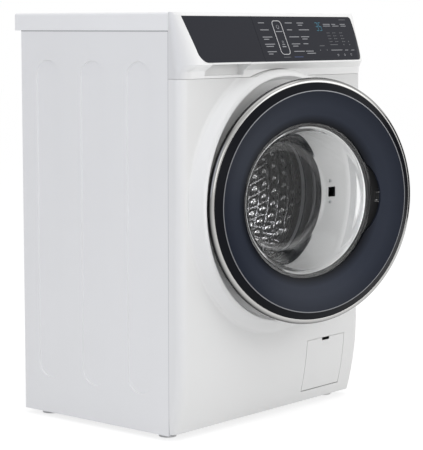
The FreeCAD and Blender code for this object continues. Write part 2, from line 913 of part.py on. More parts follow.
drilled = cut("hatch_bearings", gather("hatch_bearing_pair", *hatch_bearings), hatch_bore)
opened = cut("panel_open", panel_shell, mouth, hatch_hole, lock_slot, arm_slot)
keep(fuse("panel_finished", opened, collar, drilled), "front_panel")

# Service hatch: cut from the same curved face, with a finger slot and hinge barrel
hatch_field = block("hatch_field", d.hatch_left, d.hatch_right, -d.crest_front,
                    -d.seam_front - d.hatch_rebate, d.hatch_low, d.hatch_high)
hatch_skin = common("hatch_skin", panel_shell, hatch_field)
hatch_middle = (d.hatch_left + d.hatch_right) / 2
hatch_slot = block("hatch_slot", hatch_middle - d.hatch_slot / 2, hatch_middle + d.hatch_slot / 2,
                   -d.crest_front, -d.seam_front - d.hatch_rebate, d.hatch_high - d.hatch_slot_high,
                   d.hatch_high + d.overrun)
barrel = rod("hatch_barrel", d.hatch_pin, d.hatch_width + d.hatch_lug * 2, d.hatch_left - d.hatch_lug,
             -d.hatch_axis_front, d.hatch_axis_high, ALONG_X)
hatch_ear_field = block("hatch_ears", d.hatch_left + d.hatch_ear, d.hatch_right - d.hatch_ear, -d.crest_front,
                        -d.hatch_axis_front, d.hatch_axis_high - d.hatch_pin, d.hatch_axis_high + d.hatch_pin)
hatch_ears = common("hatch_ear", hatch_ear_field, panel_outer)
keep(cut("hatch_finished", fuse("hatch_whole", hatch_skin, hatch_ears, barrel), hatch_slot), "service_hatch")


# Control fascia: a loft of plan outlines from the seam up to the brow
def fascia_loft(name, inset, back):
    levels = [
        (d.front_top + d.seam_gap + inset, d.front_face, d.front_round),
        (d.cove_high + inset, d.cove_front, d.front_round),
        (d.lip_high + inset, d.lip_front, d.lip_round),
        (d.brow_high - inset * 0.4, d.brow_front, d.brow_round),
        (d.cabinet_height - inset, d.crown_front, d.crown_round),
    ]
    body = body_of(name)
    drawings = []
    for high, front, radius in levels:
        edge = d.half_width - inset
        face = -(front - inset)
        turn = radius - inset
        drawings.append(outline(sketch_on(body, "XY_Plane", high), [
            (-edge, back),
            (-edge, face + turn),
            (-edge + turn, face, turn),
            (edge - turn, face),
            (edge, face + turn, turn),
            (edge, back),
        ]))
    feature = body.newObject("PartDesign::AdditiveLoft", name + "_loft")
    feature.Profile = drawings[0]
    feature.Sections = drawings[1:]
    feature.Ruled = True
    body.Tip = feature
    return body


fascia_outer = fascia_loft("fascia_outer", NIL, -d.seam_front)
fascia_inner = fascia_loft("fascia_inner", d.fascia_wall, -d.seam_front + d.overrun)
fascia_skin = cut("fascia_skin", fascia_outer, fascia_inner)


def panel_window(name, gap):
    """The outline of the dark panel seen from the front, shrunk by a gap."""
    low = d.window_low + gap
    left = gap - d.window_left
    left_low = gap - d.window_left_low
    right = d.window_right - gap
    right_low = d.window_right_low - gap
    points = [
        (left, d.window_high - gap),
        (left_low, low + d.window_round_left),
        (left_low + d.window_round_left, low, d.window_round_left),
        (right_low - d.window_round_right, low),
        (right_low, low + d.window_round_right, d.window_round_right),
        (right, d.window_high - gap - d.window_round_top),
        (right - d.window_round_top, d.window_high - gap, d.window_round_top),
    ]
    return prism(name, "XZ_Plane", points, d.seam_front + d.window_rebate, d.lip_front)


def square_window(name, low_side, high_side):
    return block(name, low_side, high_side, -d.lip_front - d.lip_rise, -d.seam_front, d.lip_high,
                 d.cabinet_height)


window = panel_window("window", NIL)
drawer_window = panel_window("drawer_window", d.drawer_gap)
seal_arc = rod("fascia_arc", d.hump_radius + d.seam_gap * 2, d.crest_front * 2, NIL, -d.crest_front * 2,
               d.door_height)
grip_front = -d.lip_front - d.overrun
grip = block("grip_field", d.grip_left, d.grip_right, grip_front, -d.cove_front + d.grip_depth,
             d.grip_low, d.window_low + d.drawer_gap)
grip_shell = common("grip_shell", fascia_outer,
                    block("grip_box", d.grip_left - d.fascia_wall, d.grip_right + d.fascia_wall,
                          grip_front, -d.cove_front + d.grip_depth + d.fascia_wall,
                          d.grip_low - d.fascia_wall, d.window_low))
fascia_body = fuse("fascia_body", fascia_skin, grip_shell)
keep(cut("fascia_cut", fascia_body, window, seal_arc, grip), "control_fascia")
glass_field = square_window("glass_field", d.drawer_split + d.drawer_gap / 2, d.half_width)
keep(common("glass_plate", common("glass_band", fascia_skin, window), glass_field), "touch_panel")
front_field = square_window("front_field", -d.half_width, d.drawer_split - d.drawer_gap / 2)
drawer_plate = common("drawer_plate", common("drawer_band", fascia_skin, drawer_window), front_field)
pull_field = block("pull_field", d.grip_left + d.drawer_gap, d.grip_right - d.drawer_gap, grip_front,
                   -d.cove_front, d.lip_high, d.window_low + d.drawer_gap * 2)
keep(fuse("drawer_face", drawer_plate, common("drawer_pull", fascia_skin, pull_field)), "drawer_front")

# Silver key outline, laid on the sloping panel
slope_rise = d.brow_high - d.lip_high
slope_run = d.lip_front - d.brow_front
slope_angle = math.degrees(math.atan2(slope_run.number, slope_rise.number))
key_front = d.brow_front + slope_run * (d.brow_high - d.key_high) / slope_rise
key_body = body_of("key_outline")
outer_track = rounded(d.key_wide / 2, d.key_long / 2, d.key_round)
inner_track = rounded(d.key_wide / 2 - d.key_line, d.key_long / 2 - d.key_line, d.key_round - d.key_line)
key_sketch = outline(sketch_on(key_body, "XZ_Plane"), outer_track)
pad(key_body, outline(key_sketch, inner_track), d.key_proud)
key_body.Placement = FreeCAD.Placement(V(), FreeCAD.Rotation(V(1, 0, 0), -slope_angle))
move(key_body, d.key_across, -key_front, d.key_high)
keep(key_body, "key_trim")

# Control board box behind the touch panel
board = block("board_box", d.key_across, d.window_right_low - d.board_inset, -d.lip_front,
              -d.seam_front - d.sheet, d.window_low + d.board_gap, d.rim)
keep(common("board_fit", board, fascia_inner), "control_board")

# Detergent drawer tray and its housing
tray_bar = block("drawer_bar", d.tray_left, d.tray_right, -d.lip_front, d.drawer_back,
                 d.drawer_low, d.drawer_high)
tray_fit = common("drawer_fit", tray_bar, fuse("drawer_reach", fascia_inner,
                  block("drawer_run", d.tray_left, d.tray_right, -d.seam_front, d.drawer_back,
                        d.drawer_low, d.drawer_high)))
cell = (d.tray_right - d.tray_left - d.drawer_wall * 4) / 3
wells = []
for number in range(3):
    well_left = d.tray_left + d.drawer_wall + (cell + d.drawer_wall) * number
    wells.append(block("drawer_well", well_left, well_left + cell, -d.housing_front - d.drawer_front_wall,
                       d.drawer_back - d.drawer_wall, d.drawer_low + d.drawer_wall,
                       d.drawer_high + d.overrun))
keep(cut("drawer_hollow", tray_fit, *wells), "drawer_tray")
house_end = d.drawer_back + d.housing_tail
house_back = house_end + d.housing_wall
house_in = block("house_hollow", d.tray_left - d.housing_gap, d.tray_right + d.housing_gap, -d.lip_front,
                 house_end, d.drawer_low - d.housing_gap, d.drawer_high + d.housing_gap)
house_edge = d.housing_gap + d.housing_wall
house_out = block("house_box", d.tray_left - house_edge, d.tray_right + house_edge, -d.housing_front,
                  house_back, d.drawer_low - house_edge, d.drawer_high + house_edge)
tab_front = d.tab_start - d.housing_front
house_tab = block("house_tab", -d.inside, d.tray_left - house_edge, tab_front, tab_front + d.tab_long,
                  d.drawer_low, d.drawer_low + d.tab_high)
keep(cut("house_cut", fuse("house_whole", house_out, house_tab), house_in), "dispenser_housing")

# Rear panel with its holes, and what sits on it
rear_low = d.tray_base + d.tray_wall
rear_skin = d.cabinet_back + d.sheet
rear_half = d.inside - d.rear_inset
rear_high = d.rim - d.sheet
rear = block("rear_sheet", -rear_half, rear_half, d.cabinet_back, rear_skin, rear_low, rear_high)
rear_reach = d.cabinet_back - d.overrun


def rear_hole(name, radius, across, high):
    return rod(name, radius, d.cover_overhang, across, rear_reach, high)


cap_spots = [(d.cap_across * side, high) for side in (-1, 1) for high in (d.cap_low, d.cap_high)]
rear_holes = [
    rear_hole("inlet_hole", d.inlet_radius + d.thread_gap, d.inlet_across, d.inlet_high),
    rear_hole("drain_hole", d.hose_radius + d.thread_gap, d.hose_across, d.filter_high),
    rear_hole("cord_hole", d.gland_radius * 0.6, d.gland_across, d.gland_high),
]
rear_holes += [rear_hole("cap_hole", d.cap_radius * 0.6, across, high) for across, high in cap_spots]
keep(cut("rear_cut", rear, *rear_holes), "rear_panel")
caps = []
for across, high in cap_spots:
    head = rod("cap_head", d.cap_radius, d.cap_thick, across, rear_skin, high)
    plug = rod("cap_plug", d.cap_radius * 0.6, d.cap_thick * 2, across, rear_skin - d.cap_thick, high)
    caps.append(fuse("cap_whole", head, plug))
keep(gather("caps", *caps), "transit_caps")
gland_head = rod("gland_head", d.gland_radius, d.gland_radius, d.gland_across, rear_skin, d.gland_high)
gland_plug = rod("gland_plug", d.gland_radius * 0.6, d.gland_radius, d.gland_across,
                 d.cabinet_back - d.gland_tail, d.gland_high)
gland_bore = rod("gland_bore", d.gland_radius * 0.35, d.gland_radius * 3, d.gland_across,
                 d.cabinet_back - d.gland_tail * 2, d.gland_high)
keep(cut("gland_whole", fuse("gland_solid", gland_head, gland_plug), gland_bore), "cord_gland")
spigot_flange = rod("spigot_flange", d.hose_radius * 2, d.cap_thick, d.hose_across, rear_skin, d.filter_high)
spigot_tube = rod("spigot_tube", d.hose_radius, d.cover_overhang - d.sheet * 3, d.hose_across,
                  d.cabinet_back, d.filter_high)
spigot_bore = rod("spigot_bore", d.hose_radius * 0.75, d.cover_overhang * 2, d.hose_across, rear_reach,
                  d.filter_high)
keep(cut("spigot_whole", fuse("spigot_solid", spigot_flange, spigot_tube), spigot_bore), "drain_spigot")
valve_box = block("valve_box", d.inlet_across - d.valve_half, d.inlet_across + d.valve_half, d.valve_front,
                  d.cabinet_back, d.inlet_high - d.valve_rise, d.inlet_high + d.valve_rise)
valve_neck = rod("valve_neck", d.inlet_radius - d.sheet, d.sheet * 2, d.inlet_across, d.cabinet_back,
                 d.inlet_high)
stub_start = rear_skin + d.sheet
valve_stub = rod("valve_stub", d.inlet_radius, d.inlet_reach, d.inlet_across, stub_start, d.inlet_high)
valve_bore = rod("valve_bore", d.inlet_radius * 0.7, d.inlet_reach + d.sheet, d.inlet_across, stub_start,
                 d.inlet_high)
valve_solid = fuse("valve_solid", valve_box, valve_neck, valve_stub)
keep(cut("valve_whole", valve_solid, valve_bore), "water_inlet_valve")
keep(rod("inlet_pipe", d.inlet_radius * 0.6, d.valve_front - house_back, d.inlet_across, house_back,
         d.inlet_high), "inlet_hose")
screw_rows = [rear_low + (rear_high - rear_low) * share for share in (0.03, 0.35, 0.65, 0.95)]
screw_across = rear_half - d.screw_radius * 2
screws = [rod("screw", d.screw_radius, d.screw_head, screw_across * side, rear_skin, high)
          for side in (-1, 1) for high in screw_rows]
keep(gather("screws", *screws), "cabinet_screws")

# Brace across the top that carries the springs
keep(block("brace", -d.inside, d.inside, d.spring_place - d.brace_wide / 2, d.spring_place + d.brace_wide / 2,
           d.brace_low, d.brace_high), "top_brace")

# Tub, seal and counterweight, turned about the drum axis
flange_out = d.tub_out + d.flange_reach
flange_wide = d.tub_wall + d.sheet
keep(move(turned("tub_fore", [
    (d.neck_radius - d.tub_wall, -d.neck_front),
    (d.neck_radius, -d.neck_front),
    (d.neck_radius, -d.tub_front),
    (d.tub_out, -d.tub_front),
    (d.tub_out, -d.tub_split - flange_wide),
    (flange_out, -d.tub_split - flange_wide),
    (flange_out, -d.tub_split),
    (d.tub_radius, -d.tub_split),
    (d.tub_radius, -d.tub_front + d.tub_wall),
    (d.neck_radius - d.tub_wall, -d.tub_front + d.tub_wall),
]), z=d.door_height), "tub_front")
tub_aft = move(turned("tub_aft", [
    (d.bearing_radius, d.tub_back - d.tub_wall),
    (d.tub_radius, d.tub_back - d.tub_wall),
    (d.tub_radius, -d.tub_split),
    (flange_out, -d.tub_split),
    (flange_out, -d.tub_split + flange_wide),
    (d.tub_out, -d.tub_split + flange_wide),
    (d.tub_out, d.tub_back),
    (d.hub_radius, d.tub_back),
    (d.hub_radius, d.hub_back),
    (d.bearing_radius, d.hub_back),
]), z=d.door_height)


def tub_barrel(name, radius):
    return rod(name, radius, d.tub_front + d.tub_back, NIL, -d.tub_front, d.door_height)


lugs = []
for side in (-1, 1):
    centre = d.spring_across * side
    lugs.append(block("spring_lug", centre - d.lug_half, centre + d.lug_half, d.spring_place - d.lug_deep / 2,
                      d.spring_place + d.lug_deep / 2, d.spring_low - d.lug_high, d.spring_low))
lug_set = cut("lug_set", gather("lug_pair", *lugs), tub_barrel("lug_barrel", d.tub_radius))
heater_high = d.door_height - d.heater_drop
heater_legs = [rod("heater_leg", d.heater_rod, d.tub_wall * 4, d.heater_half * side,
                   d.tub_back - d.tub_wall * 2, heater_high) for side in (-1, 1)]
keep(cut("tub_aft_whole", fuse("tub_aft_lugged", tub_aft, lug_set), *heater_legs), "tub_rear")
seal_in = d.mouth_radius - d.seal_wall
seal_clip = d.mouth_radius + d.front_sheet
fold_in = d.neck_radius - d.seal_fold
fold_front = -d.neck_front - d.seal_fold - d.seal_wall * 1.7
fold_back = -d.neck_front - d.seal_wall * 1.3
keep(move(turned("seal_bellows", [
    (seal_in, -d.mouth_front),
    (d.mouth_radius, -d.mouth_front),
    (d.mouth_radius, -d.mouth_back),
    (seal_clip, -d.mouth_back),
    (seal_clip, -d.mouth_back - d.seal_clip),
    (d.mouth_radius + d.seal_lip, -d.mouth_back - d.seal_clip),
    (d.mouth_radius + d.seal_lip, fold_front - d.seal_wall * 1.5),
    (d.neck_radius + d.seal_wall, fold_front - d.seal_wall * 0.4),
    (d.neck_radius + d.seal_wall, fold_front + d.seal_wall * 1.9),
    (fold_in + d.seal_wall, fold_back - d.seal_wall * 0.55),
    (fold_in + d.seal_wall, fold_back - d.seal_wall * 0.4),
    (d.neck_radius + d.seal_wall, -d.neck_front - d.seal_wall),
    (d.neck_radius + d.seal_wall, -d.neck_front + d.seal_wall * 2),
    (d.neck_radius, -d.neck_front + d.seal_wall * 2),
    (d.neck_radius, -d.neck_front),
    (d.neck_radius - d.tub_wall, -d.neck_front),
    (fold_in, fold_back),
    (fold_in, fold_back - d.seal_wall),
    (d.neck_radius, fold_front + d.seal_wall * 1.5),
    (d.neck_radius, fold_front),
    (d.mouth_radius - d.seal_wall * 0.6, fold_front - d.seal_wall * 1.7),
    (seal_in - d.seal_lip, -d.mouth_back + d.seal_lip * 0.9),
    (seal_in - d.seal_lip, -d.mouth_back + d.seal_lip * 0.4),
    (seal_in, -d.mouth_back - d.seal_lip * 0.4),
]), z=d.door_height), "door_gasket")
keep(move(turned("weight_ring", [
    (d.weight_inner, -d.tub_front - d.weight_thick),
    (d.weight_outer, -d.tub_front - d.weight_thick),
    (d.weight_outer, -d.tub_front),
    (d.weight_inner, -d.tub_front),
]), z=d.door_height), "front_counterweight")
bearing_starts = (d.tub_back + d.bearing_shy, d.hub_back - d.bearing_wide - d.bearing_shy)
races = []
for start in bearing_starts:
    race = rod("bearing_ring", d.bearing_radius, d.bearing_wide, NIL, start, d.door_height)
    eye = rod("bearing_eye", d.shaft_radius + d.running_fit, d.bearing_wide, NIL, start, d.door_height)
    races.append(cut("bearing", race, eye))
keep(gather("bearings", *races), "drum_bearings")
seal_start = d.tub_back - d.tub_wall
seal_ring = rod("seal_ring", d.bearing_radius, d.tub_wall, NIL, seal_start, d.door_height)
seal_eye = rod("seal_eye", d.shaft_radius + d.running_fit, d.tub_wall, NIL, seal_start, d.door_height)
keep(cut("seal_cut", seal_ring, seal_eye), "shaft_seal")

# Suspension springs and dampers
spring = body_of("spring_coil")
wire = ring(sketch_on(spring, "XZ_Plane"), d.spring_coil, d.spring_wire, d.spring_wire)
doc.recompute()
coil = spring.newObject("PartDesign::AdditiveHelix", "spring_wind")
coil.Profile = wire
coil.ReferenceAxis = (wire, ["V_Axis"])
coil.Mode = 0
drive(coil, "Pitch", d.spring_pitch)
drive(coil, "Height", d.brace_low - d.spring_low - d.spring_wire * 2)
spring.Tip = coil
move(spring, d.spring_across, d.spring_place, d.spring_low)
mirror = doc.addObject("Part::Mirroring", "spring_left")
mirror.Source = spring
mirror.Normal = V(1, 0, 0)
keep(gather("springs", spring, mirror), "suspension_springs")

tray_floor = d.tray_base + d.tray_wall
damper_run = d.damper_foot - d.damper_head
damper_top = d.door_height - root(d.tub_out * d.tub_out - d.damper_head * d.damper_head)
damper_rise = damper_top - tray_floor
damper_long = root(damper_run * damper_run + damper_rise * damper_rise)
tubes = []
rods = []
for side in (-1, 1):
    lean = math.degrees(math.atan2(-side * damper_run.number, damper_rise.number))
    turn = FreeCAD.Rotation(V(0, 1, 0), lean)
    spot = (d.damper_foot * side, d.damper_place, tray_floor)
    tube = rod("damper_tube", d.damper_tube, damper_long * 0.55, *spot, turn)
    bore = rod("damper_bore", d.damper_rod, damper_long, *spot, turn)
    below = d.damper_tube * 4
    floor = block("damper_floor", spot[0] - below, spot[0] + below, spot[1] - below, spot[1] + below,
                  tray_floor - below, tray_floor)
    shoe = block("damper_shoe", spot[0] - d.shoe_half, spot[0] + d.shoe_half, spot[1] - d.shoe_half,
                 spot[1] + d.shoe_half, tray_floor, tray_floor + d.shoe_high)
    tubes.append(cut("damper_outer", fuse("damper_body", tube, shoe), bore, floor))
    stem = rod("damper_stem", d.damper_rod, damper_long * 1.1, *spot, turn)
    stem_cut = cut("damper_inner", stem, tub_barrel("damper_stop", d.tub_out), floor)
    rods.append(stem_cut)
keep(gather("damper_tube_pair", *tubes), "damper_tubes")
keep(gather("damper_rod_pair", *rods), "damper_rods")

# Heater: a bent tube under the drum with its terminal block behind the tub
heater = body_of("heater_bend")
bend = sketch_on(heater, "XY_Plane")
heater_front = d.heater_shy - d.tub_split
bend_lines = [
    bend.addGeometry(Part.LineSegment(V(-d.heater_half.number, d.tub_back.number, 0),
                                      V(-d.heater_half.number, heater_front.number, 0)), False),
    bend.addGeometry(Part.ArcOfCircle(Part.Circle(V(0, heater_front.number, 0), V(0, 0, 1),
                                                  d.heater_half.number), math.pi, 2 * math.pi), False),
    bend.addGeometry(Part.LineSegment(V(d.heater_half.number, heater_front.number, 0),
                                      V(d.heater_half.number, d.tub_back.number, 0)), False),
]
pin_point(bend, bend_lines[0], 1, -d.heater_half, d.tub_back)
pin_point(bend, bend_lines[0], 2, -d.heater_half, heater_front)
pin_point(bend, bend_lines[2], 1, d.heater_half, heater_front)
pin_point(bend, bend_lines[2], 2, d.heater_half, d.tub_back)
bend.addConstraint(Sketcher.Constraint("Coincident", bend_lines[0], 2, bend_lines[1], 1))
bend.addConstraint(Sketcher.Constraint("Coincident", bend_lines[1], 2, bend_lines[2], 1))
hold(bend, "DistanceY", bend_lines[1], 3, heater_front)
tip = ring(sketch_on(heater, "XZ_Plane", -d.tub_back), -d.heater_half, NIL, d.heater_rod)
pipe = heater.newObject("PartDesign::AdditivePipe", "heater_pipe")
pipe.Profile = tip
pipe.Spine = bend
heater.Tip = pipe
move(heater, z=heater_high)
plug_half = d.heater_half + d.heater_plug
heater_plug = block("heater_plug", -plug_half, plug_half, d.tub_back, d.tub_back + d.heater_plug_deep,
                    heater_high - d.heater_plug, heater_high + d.heater_plug)
keep(fuse("heater_whole", heater, heater_plug), "water_heater")

# Drum: wrapper, front ring, back disc, paddles, spider with shaft, pulley
drum_in = d.drum_radius - d.drum_sheet
keep(move(turned("drum_tube", [
    (drum_in, -d.drum_front + d.drum_sheet),
    (d.drum_radius, -d.drum_front + d.drum_sheet),
    (d.drum_radius, d.drum_back - d.drum_sheet),
    (drum_in, d.drum_back - d.drum_sheet),
]), z=d.door_height), "drum_wrapper")
keep(move(turned("drum_brow", [
    (d.drum_mouth, -d.drum_front - d.drum_rim),
    (d.drum_mouth + d.drum_sheet * 2, -d.drum_front - d.drum_rim),
    (d.drum_mouth + d.drum_sheet * 2, -d.drum_front),
    (d.drum_radius, -d.drum_front),
    (d.drum_radius, -d.drum_front + d.drum_sheet),
    (d.drum_mouth, -d.drum_front + d.drum_sheet),
]), z=d.door_height), "drum_front")
disc_front = d.drum_back - d.drum_sheet
keep(rod("drum_disc", d.drum_radius, d.drum_sheet, NIL, disc_front, d.door_height), "drum_back")
paddles = []
paddle_half = d.paddle_width / 2
paddle_foot = root(drum_in * drum_in - paddle_half * paddle_half)
paddle_top = drum_in - d.paddle_height
for angle in (-40, 80, 200):
    wedge = prism("paddle", "XZ_Plane", [
        (paddle_foot - d.paddle_lap, -paddle_half),
        (drum_in + d.paddle_lap, -paddle_half),
        (drum_in + d.paddle_lap, paddle_half),
        (paddle_foot - d.paddle_lap, paddle_half),
        (paddle_top + d.paddle_crown, paddle_half * 0.45),
        (paddle_top + d.paddle_crown, -paddle_half * 0.45, d.paddle_width * 0.3),
    ], d.paddle_end - d.drum_back, d.drum_front + d.drum_back - d.paddle_end * 2)
    wedge.Placement = FreeCAD.Placement(V(), FreeCAD.Rotation(V(0, 1, 0), angle))
    move(wedge, z=d.door_height)
    space = rod("paddle_space", drum_in, d.drum_front * 3, NIL, -d.drum_front * 1.5, d.door_height)
    paddles.append(common("paddle_fit", wedge, space))
keep(gather("paddle_set", *paddles), "drum_paddles")
spider_back = d.drum_back + d.spider_thick
spider_arm = oblong(NIL, d.drum_radius * 0.94, -d.spider_half, d.spider_half)
arms = []
for angle in (20, 140, 260):
    arm = prism("spider_arm", "XZ_Plane", spider_arm, -spider_back, d.spider_thick)
    arm.Placement = FreeCAD.Placement(V(), FreeCAD.Rotation(V(0, 1, 0), angle))
    arms.append(move(arm, z=d.door_height))
spider_hub = rod("spider_hub", d.bearing_radius * 1.5, d.spider_thick, NIL, d.drum_back, d.door_height)
shaft = rod("shaft", d.shaft_radius, d.shaft_back - d.drum_back, NIL, d.drum_back, d.door_height)
keep(fuse("spider_whole", spider_hub, shaft, *arms), "drum_spider")
pulley_back = d.pulley_front + d.pulley_wide
web_front = d.pulley_front + (d.pulley_wide - d.pulley_web) / 2
keep(move(turned("pulley_wheel", [
    (d.shaft_radius, d.pulley_front),
    (d.shaft_radius * 2, d.pulley_front),
    (d.shaft_radius * 2, web_front),
    (d.pulley_radius - d.pulley_rim, web_front),
    (d.pulley_radius - d.pulley_rim, d.pulley_front),
    (d.pulley_radius, d.pulley_front),
    (d.pulley_radius, pulley_back),
    (d.pulley_radius - d.pulley_rim, pulley_back),
    (d.pulley_radius - d.pulley_rim, web_front + d.pulley_web),
    (d.shaft_radius * 2, web_front + d.pulley_web),
    (d.shaft_radius * 2, pulley_back),
    (d.shaft_radius, pulley_back),
]), z=d.door_height), "drum_pulley")

# Motor, its pulley and the belt
motor_case = rod("motor_case", d.motor_radius, d.motor_long, d.motor_across, d.motor_front, d.motor_high)
bore_end = d.motor_back - d.motor_bore
motor_hole = rod("motor_hole", d.motor_shaft + d.running_fit, d.motor_long, d.motor_across, bore_end,
                 d.motor_high)
motor_arm = block("motor_arm", d.motor_across - d.motor_arm, d.motor_across + d.motor_arm,
                  d.motor_front + d.motor_arm_inset, d.motor_back - d.motor_arm_inset,
                  d.motor_high + d.motor_radius * 0.75, d.door_height)
motor_stop = tub_barrel("motor_stop", d.tub_out)
motor_solid = fuse("motor_solid", motor_case, cut("motor_lug", motor_arm, motor_stop))
keep(cut("motor_whole", motor_solid, motor_hole), "drive_motor")
motor_wheel = turned("motor_wheel", [
    (NIL, bore_end + d.bearing_shy),
    (d.motor_shaft, bore_end + d.bearing_shy),
    (d.motor_shaft, d.pulley_front),
    (d.motor_pulley, d.pulley_front),
    (d.motor_pulley, pulley_back),
    (NIL, pulley_back),
])
keep(move(motor_wheel, d.motor_across, NIL, d.motor_high), "motor_pulley")


def belt_loop(drawing, grow):
    """The loop of a belt: two arcs joined by tangent lines."""
    big = (NIL, d.door_height, d.pulley_radius + grow)
    small = (d.motor_across, d.motor_high, d.motor_pulley + grow)
    dx = small[0].number - big[0].number
    dz = small[1].number - big[1].number
    span = math.hypot(dx, dz)
    heading = math.atan2(dz, dx)
    spread = math.acos((big[2].number - small[2].number) / span)
    arcs = []
    for spot, low, high in ((big, heading + spread, heading - spread + 2 * math.pi),
                            (small, heading - spread, heading + spread)):
        wheel = Part.Circle(V(spot[0].number, spot[1].number, 0), V(0, 0, 1), spot[2].number)
        index = drawing.addGeometry(Part.ArcOfCircle(wheel, low, high), False)
        row = drawing.addConstraint(Sketcher.Constraint("Radius", index, spot[2].number))
        drawing.setExpression(f"Constraints[{row}]", spot[2].text)
        pin_point(drawing, index, 3, spot[0], spot[1])
        arcs.append(index)
    for first, first_end, last, last_end in ((arcs[0], 2, arcs[1], 1), (arcs[1], 2, arcs[0], 1)):
        start = drawing.getPoint(first, first_end)
        finish = drawing.getPoint(last, last_end)
        line = drawing.addGeometry(Part.LineSegment(start, finish), False)
        drawing.addConstraint(Sketcher.Constraint("Tangent", first, first_end, line, 1))
        drawing.addConstraint(Sketcher.Constraint("Tangent", line, 2, last, last_end))


belt = body_of("belt_band")
belt_sketch = sketch_on(belt, "XZ_Plane", d.belt_edge - pulley_back)
belt_loop(belt_sketch, d.belt_gap)
belt_loop(belt_sketch, d.belt_gap + d.belt_thick)
pad(belt, belt_sketch, d.pulley_wide - d.belt_edge * 2)
keep(belt, "drive_belt")

# Filter, pump and hoses
filter_tube = rod("filter_tube", d.filter_radius, d.filter_long, d.filter_across, -d.filter_front,
                  d.filter_high)
filter_foot = block("filter_foot", d.filter_across - d.filter_bore, d.filter_across + d.filter_bore,
                    d.filter_floor * 2 - d.filter_front, -d.filter_floor - d.filter_back, tray_floor,
                    d.filter_high)
filter_hole = rod("filter_hole", d.filter_bore + d.thread_gap, d.filter_long - d.filter_floor,
                  d.filter_across, -d.filter_front, d.filter_high)
filter_solid = fuse("filter_solid", filter_tube, filter_foot)
keep(cut("filter_whole", filter_solid, filter_hole), "filter_housing")
knob_back = -d.filter_front - d.thread_gap
knob_front = knob_back - d.knob_thick
plug = rod("filter_plug", d.filter_bore, d.filter_long - d.filter_floor * 2, d.filter_across, knob_back,
           d.filter_high)
knob = rod("filter_knob", d.filter_bore + d.knob_lap, d.knob_thick, d.filter_across, knob_front,
           d.filter_high)
bar_half = d.filter_bore - d.knob_lap
bar = block("filter_bar", d.filter_across - d.knob_bar / 2, d.filter_across + d.knob_bar / 2,
            knob_front - d.knob_bar_high, knob_back, d.filter_high - bar_half, d.filter_high + bar_half)
keep(fuse("filter_turn", plug, knob, bar), "drain_filter")
pump = rod("pump_case", d.pump_radius, d.pump_long, d.filter_across, -d.filter_back, d.filter_high)
keep(pump, "drain_pump")
sump = rod("sump_pipe", d.sump_radius, d.door_height - d.filter_high, d.filter_across,
           -(d.filter_front + d.filter_back) / 2, d.filter_high, UPRIGHT)
sump_seat = rod("sump_seat", d.filter_radius, d.filter_long, d.filter_across, -d.filter_front, d.filter_high)
keep(cut("sump_fit", sump, tub_barrel("sump_stop", d.tub_out), sump_seat), "sump_hose")
hose = body_of("hose_bend")
path = sketch_on(hose, "XY_Plane")
hose_turn = d.hose_radius * 2
hose_in = d.filter_across + d.pump_radius - d.hose_lap
path_lines = [
    path.addGeometry(Part.LineSegment(V(hose_in.number, -d.hose_start.number, 0),
                                      V((d.hose_across - hose_turn).number, -d.hose_start.number, 0)), False),
    path.addGeometry(Part.ArcOfCircle(Part.Circle(V((d.hose_across - hose_turn).number,
                                                    (hose_turn - d.hose_start).number, 0), V(0, 0, 1),
                                                  hose_turn.number), -math.pi / 2, 0.0), False),
    path.addGeometry(Part.LineSegment(V(d.hose_across.number, (hose_turn - d.hose_start).number, 0),
                                      V(d.hose_across.number, d.cabinet_back.number, 0)), False),
]
pin_point(path, path_lines[0], 1, hose_in, -d.hose_start)
pin_point(path, path_lines[0], 2, d.hose_across - hose_turn, -d.hose_start)
bend_row = path.addConstraint(Sketcher.Constraint("Radius", path_lines[1], hose_turn.number))
path.setExpression(f"Constraints[{bend_row}]", hose_turn.text)
path.addConstraint(Sketcher.Constraint("Coincident", path_lines[0], 2, path_lines[1], 1))
path.addConstraint(Sketcher.Constraint("Coincident", path_lines[1], 2, path_lines[2], 1))
pin_point(path, path_lines[2], 1, d.hose_across, hose_turn - d.hose_start)
pin_point(path, path_lines[2], 2, d.hose_across, d.cabinet_back)
hose_end = ring(sketch_on(hose, "YZ_Plane", hose_in), -d.hose_start, NIL, d.hose_radius)
hose_pipe = hose.newObject("PartDesign::AdditivePipe", "hose_pipe")
hose_pipe.Profile = hose_end
hose_pipe.Spine = path
hose.Tip = hose_pipe
move(hose, z=d.filter_high)
hose_seat = rod("hose_seat", d.pump_radius, d.pump_long, d.filter_across, -d.filter_back, d.filter_high)
keep(cut("hose_fit", hose, hose_seat), "drain_hose")
fill_across = (d.tray_left + d.tray_right) / 2
fill = rod("fill_pipe", d.fill_radius, d.drawer_low - house_edge - d.door_height, fill_across,
           -d.seam_front / 2, d.door_height, UPRIGHT)
keep(cut("fill_fit", fill, tub_barrel("fill_stop", d.tub_out)), "fill_hose")

# Door lock and hinge bracket, both fitted to the back of the dished seat
lock_box = block("lock_box", d.hook_across - d.lock_inner, d.hook_across + d.lock_outer, -d.seat_front,
                 d.lock_gap * 3 - d.hook_tip, d.door_height - d.lock_half, d.door_height + d.lock_half)
lock_cave = block("lock_cave", d.hook_across - d.lock_inner + d.lock_wall,
                  d.hook_across + d.lock_outer - d.lock_wall, -d.crest_front, d.lock_gap * 2 - d.hook_tip,
                  d.door_height - slot_half, d.door_height + slot_half)
keep(cut("lock_whole", common("lock_fit", lock_box, panel_inner), lock_cave), "door_lock")


def hinge_block(name, x_low, x_high, front, back, half):
    return block(name, x_low, x_high, -front, -back, d.door_height - half, d.door_height + half)


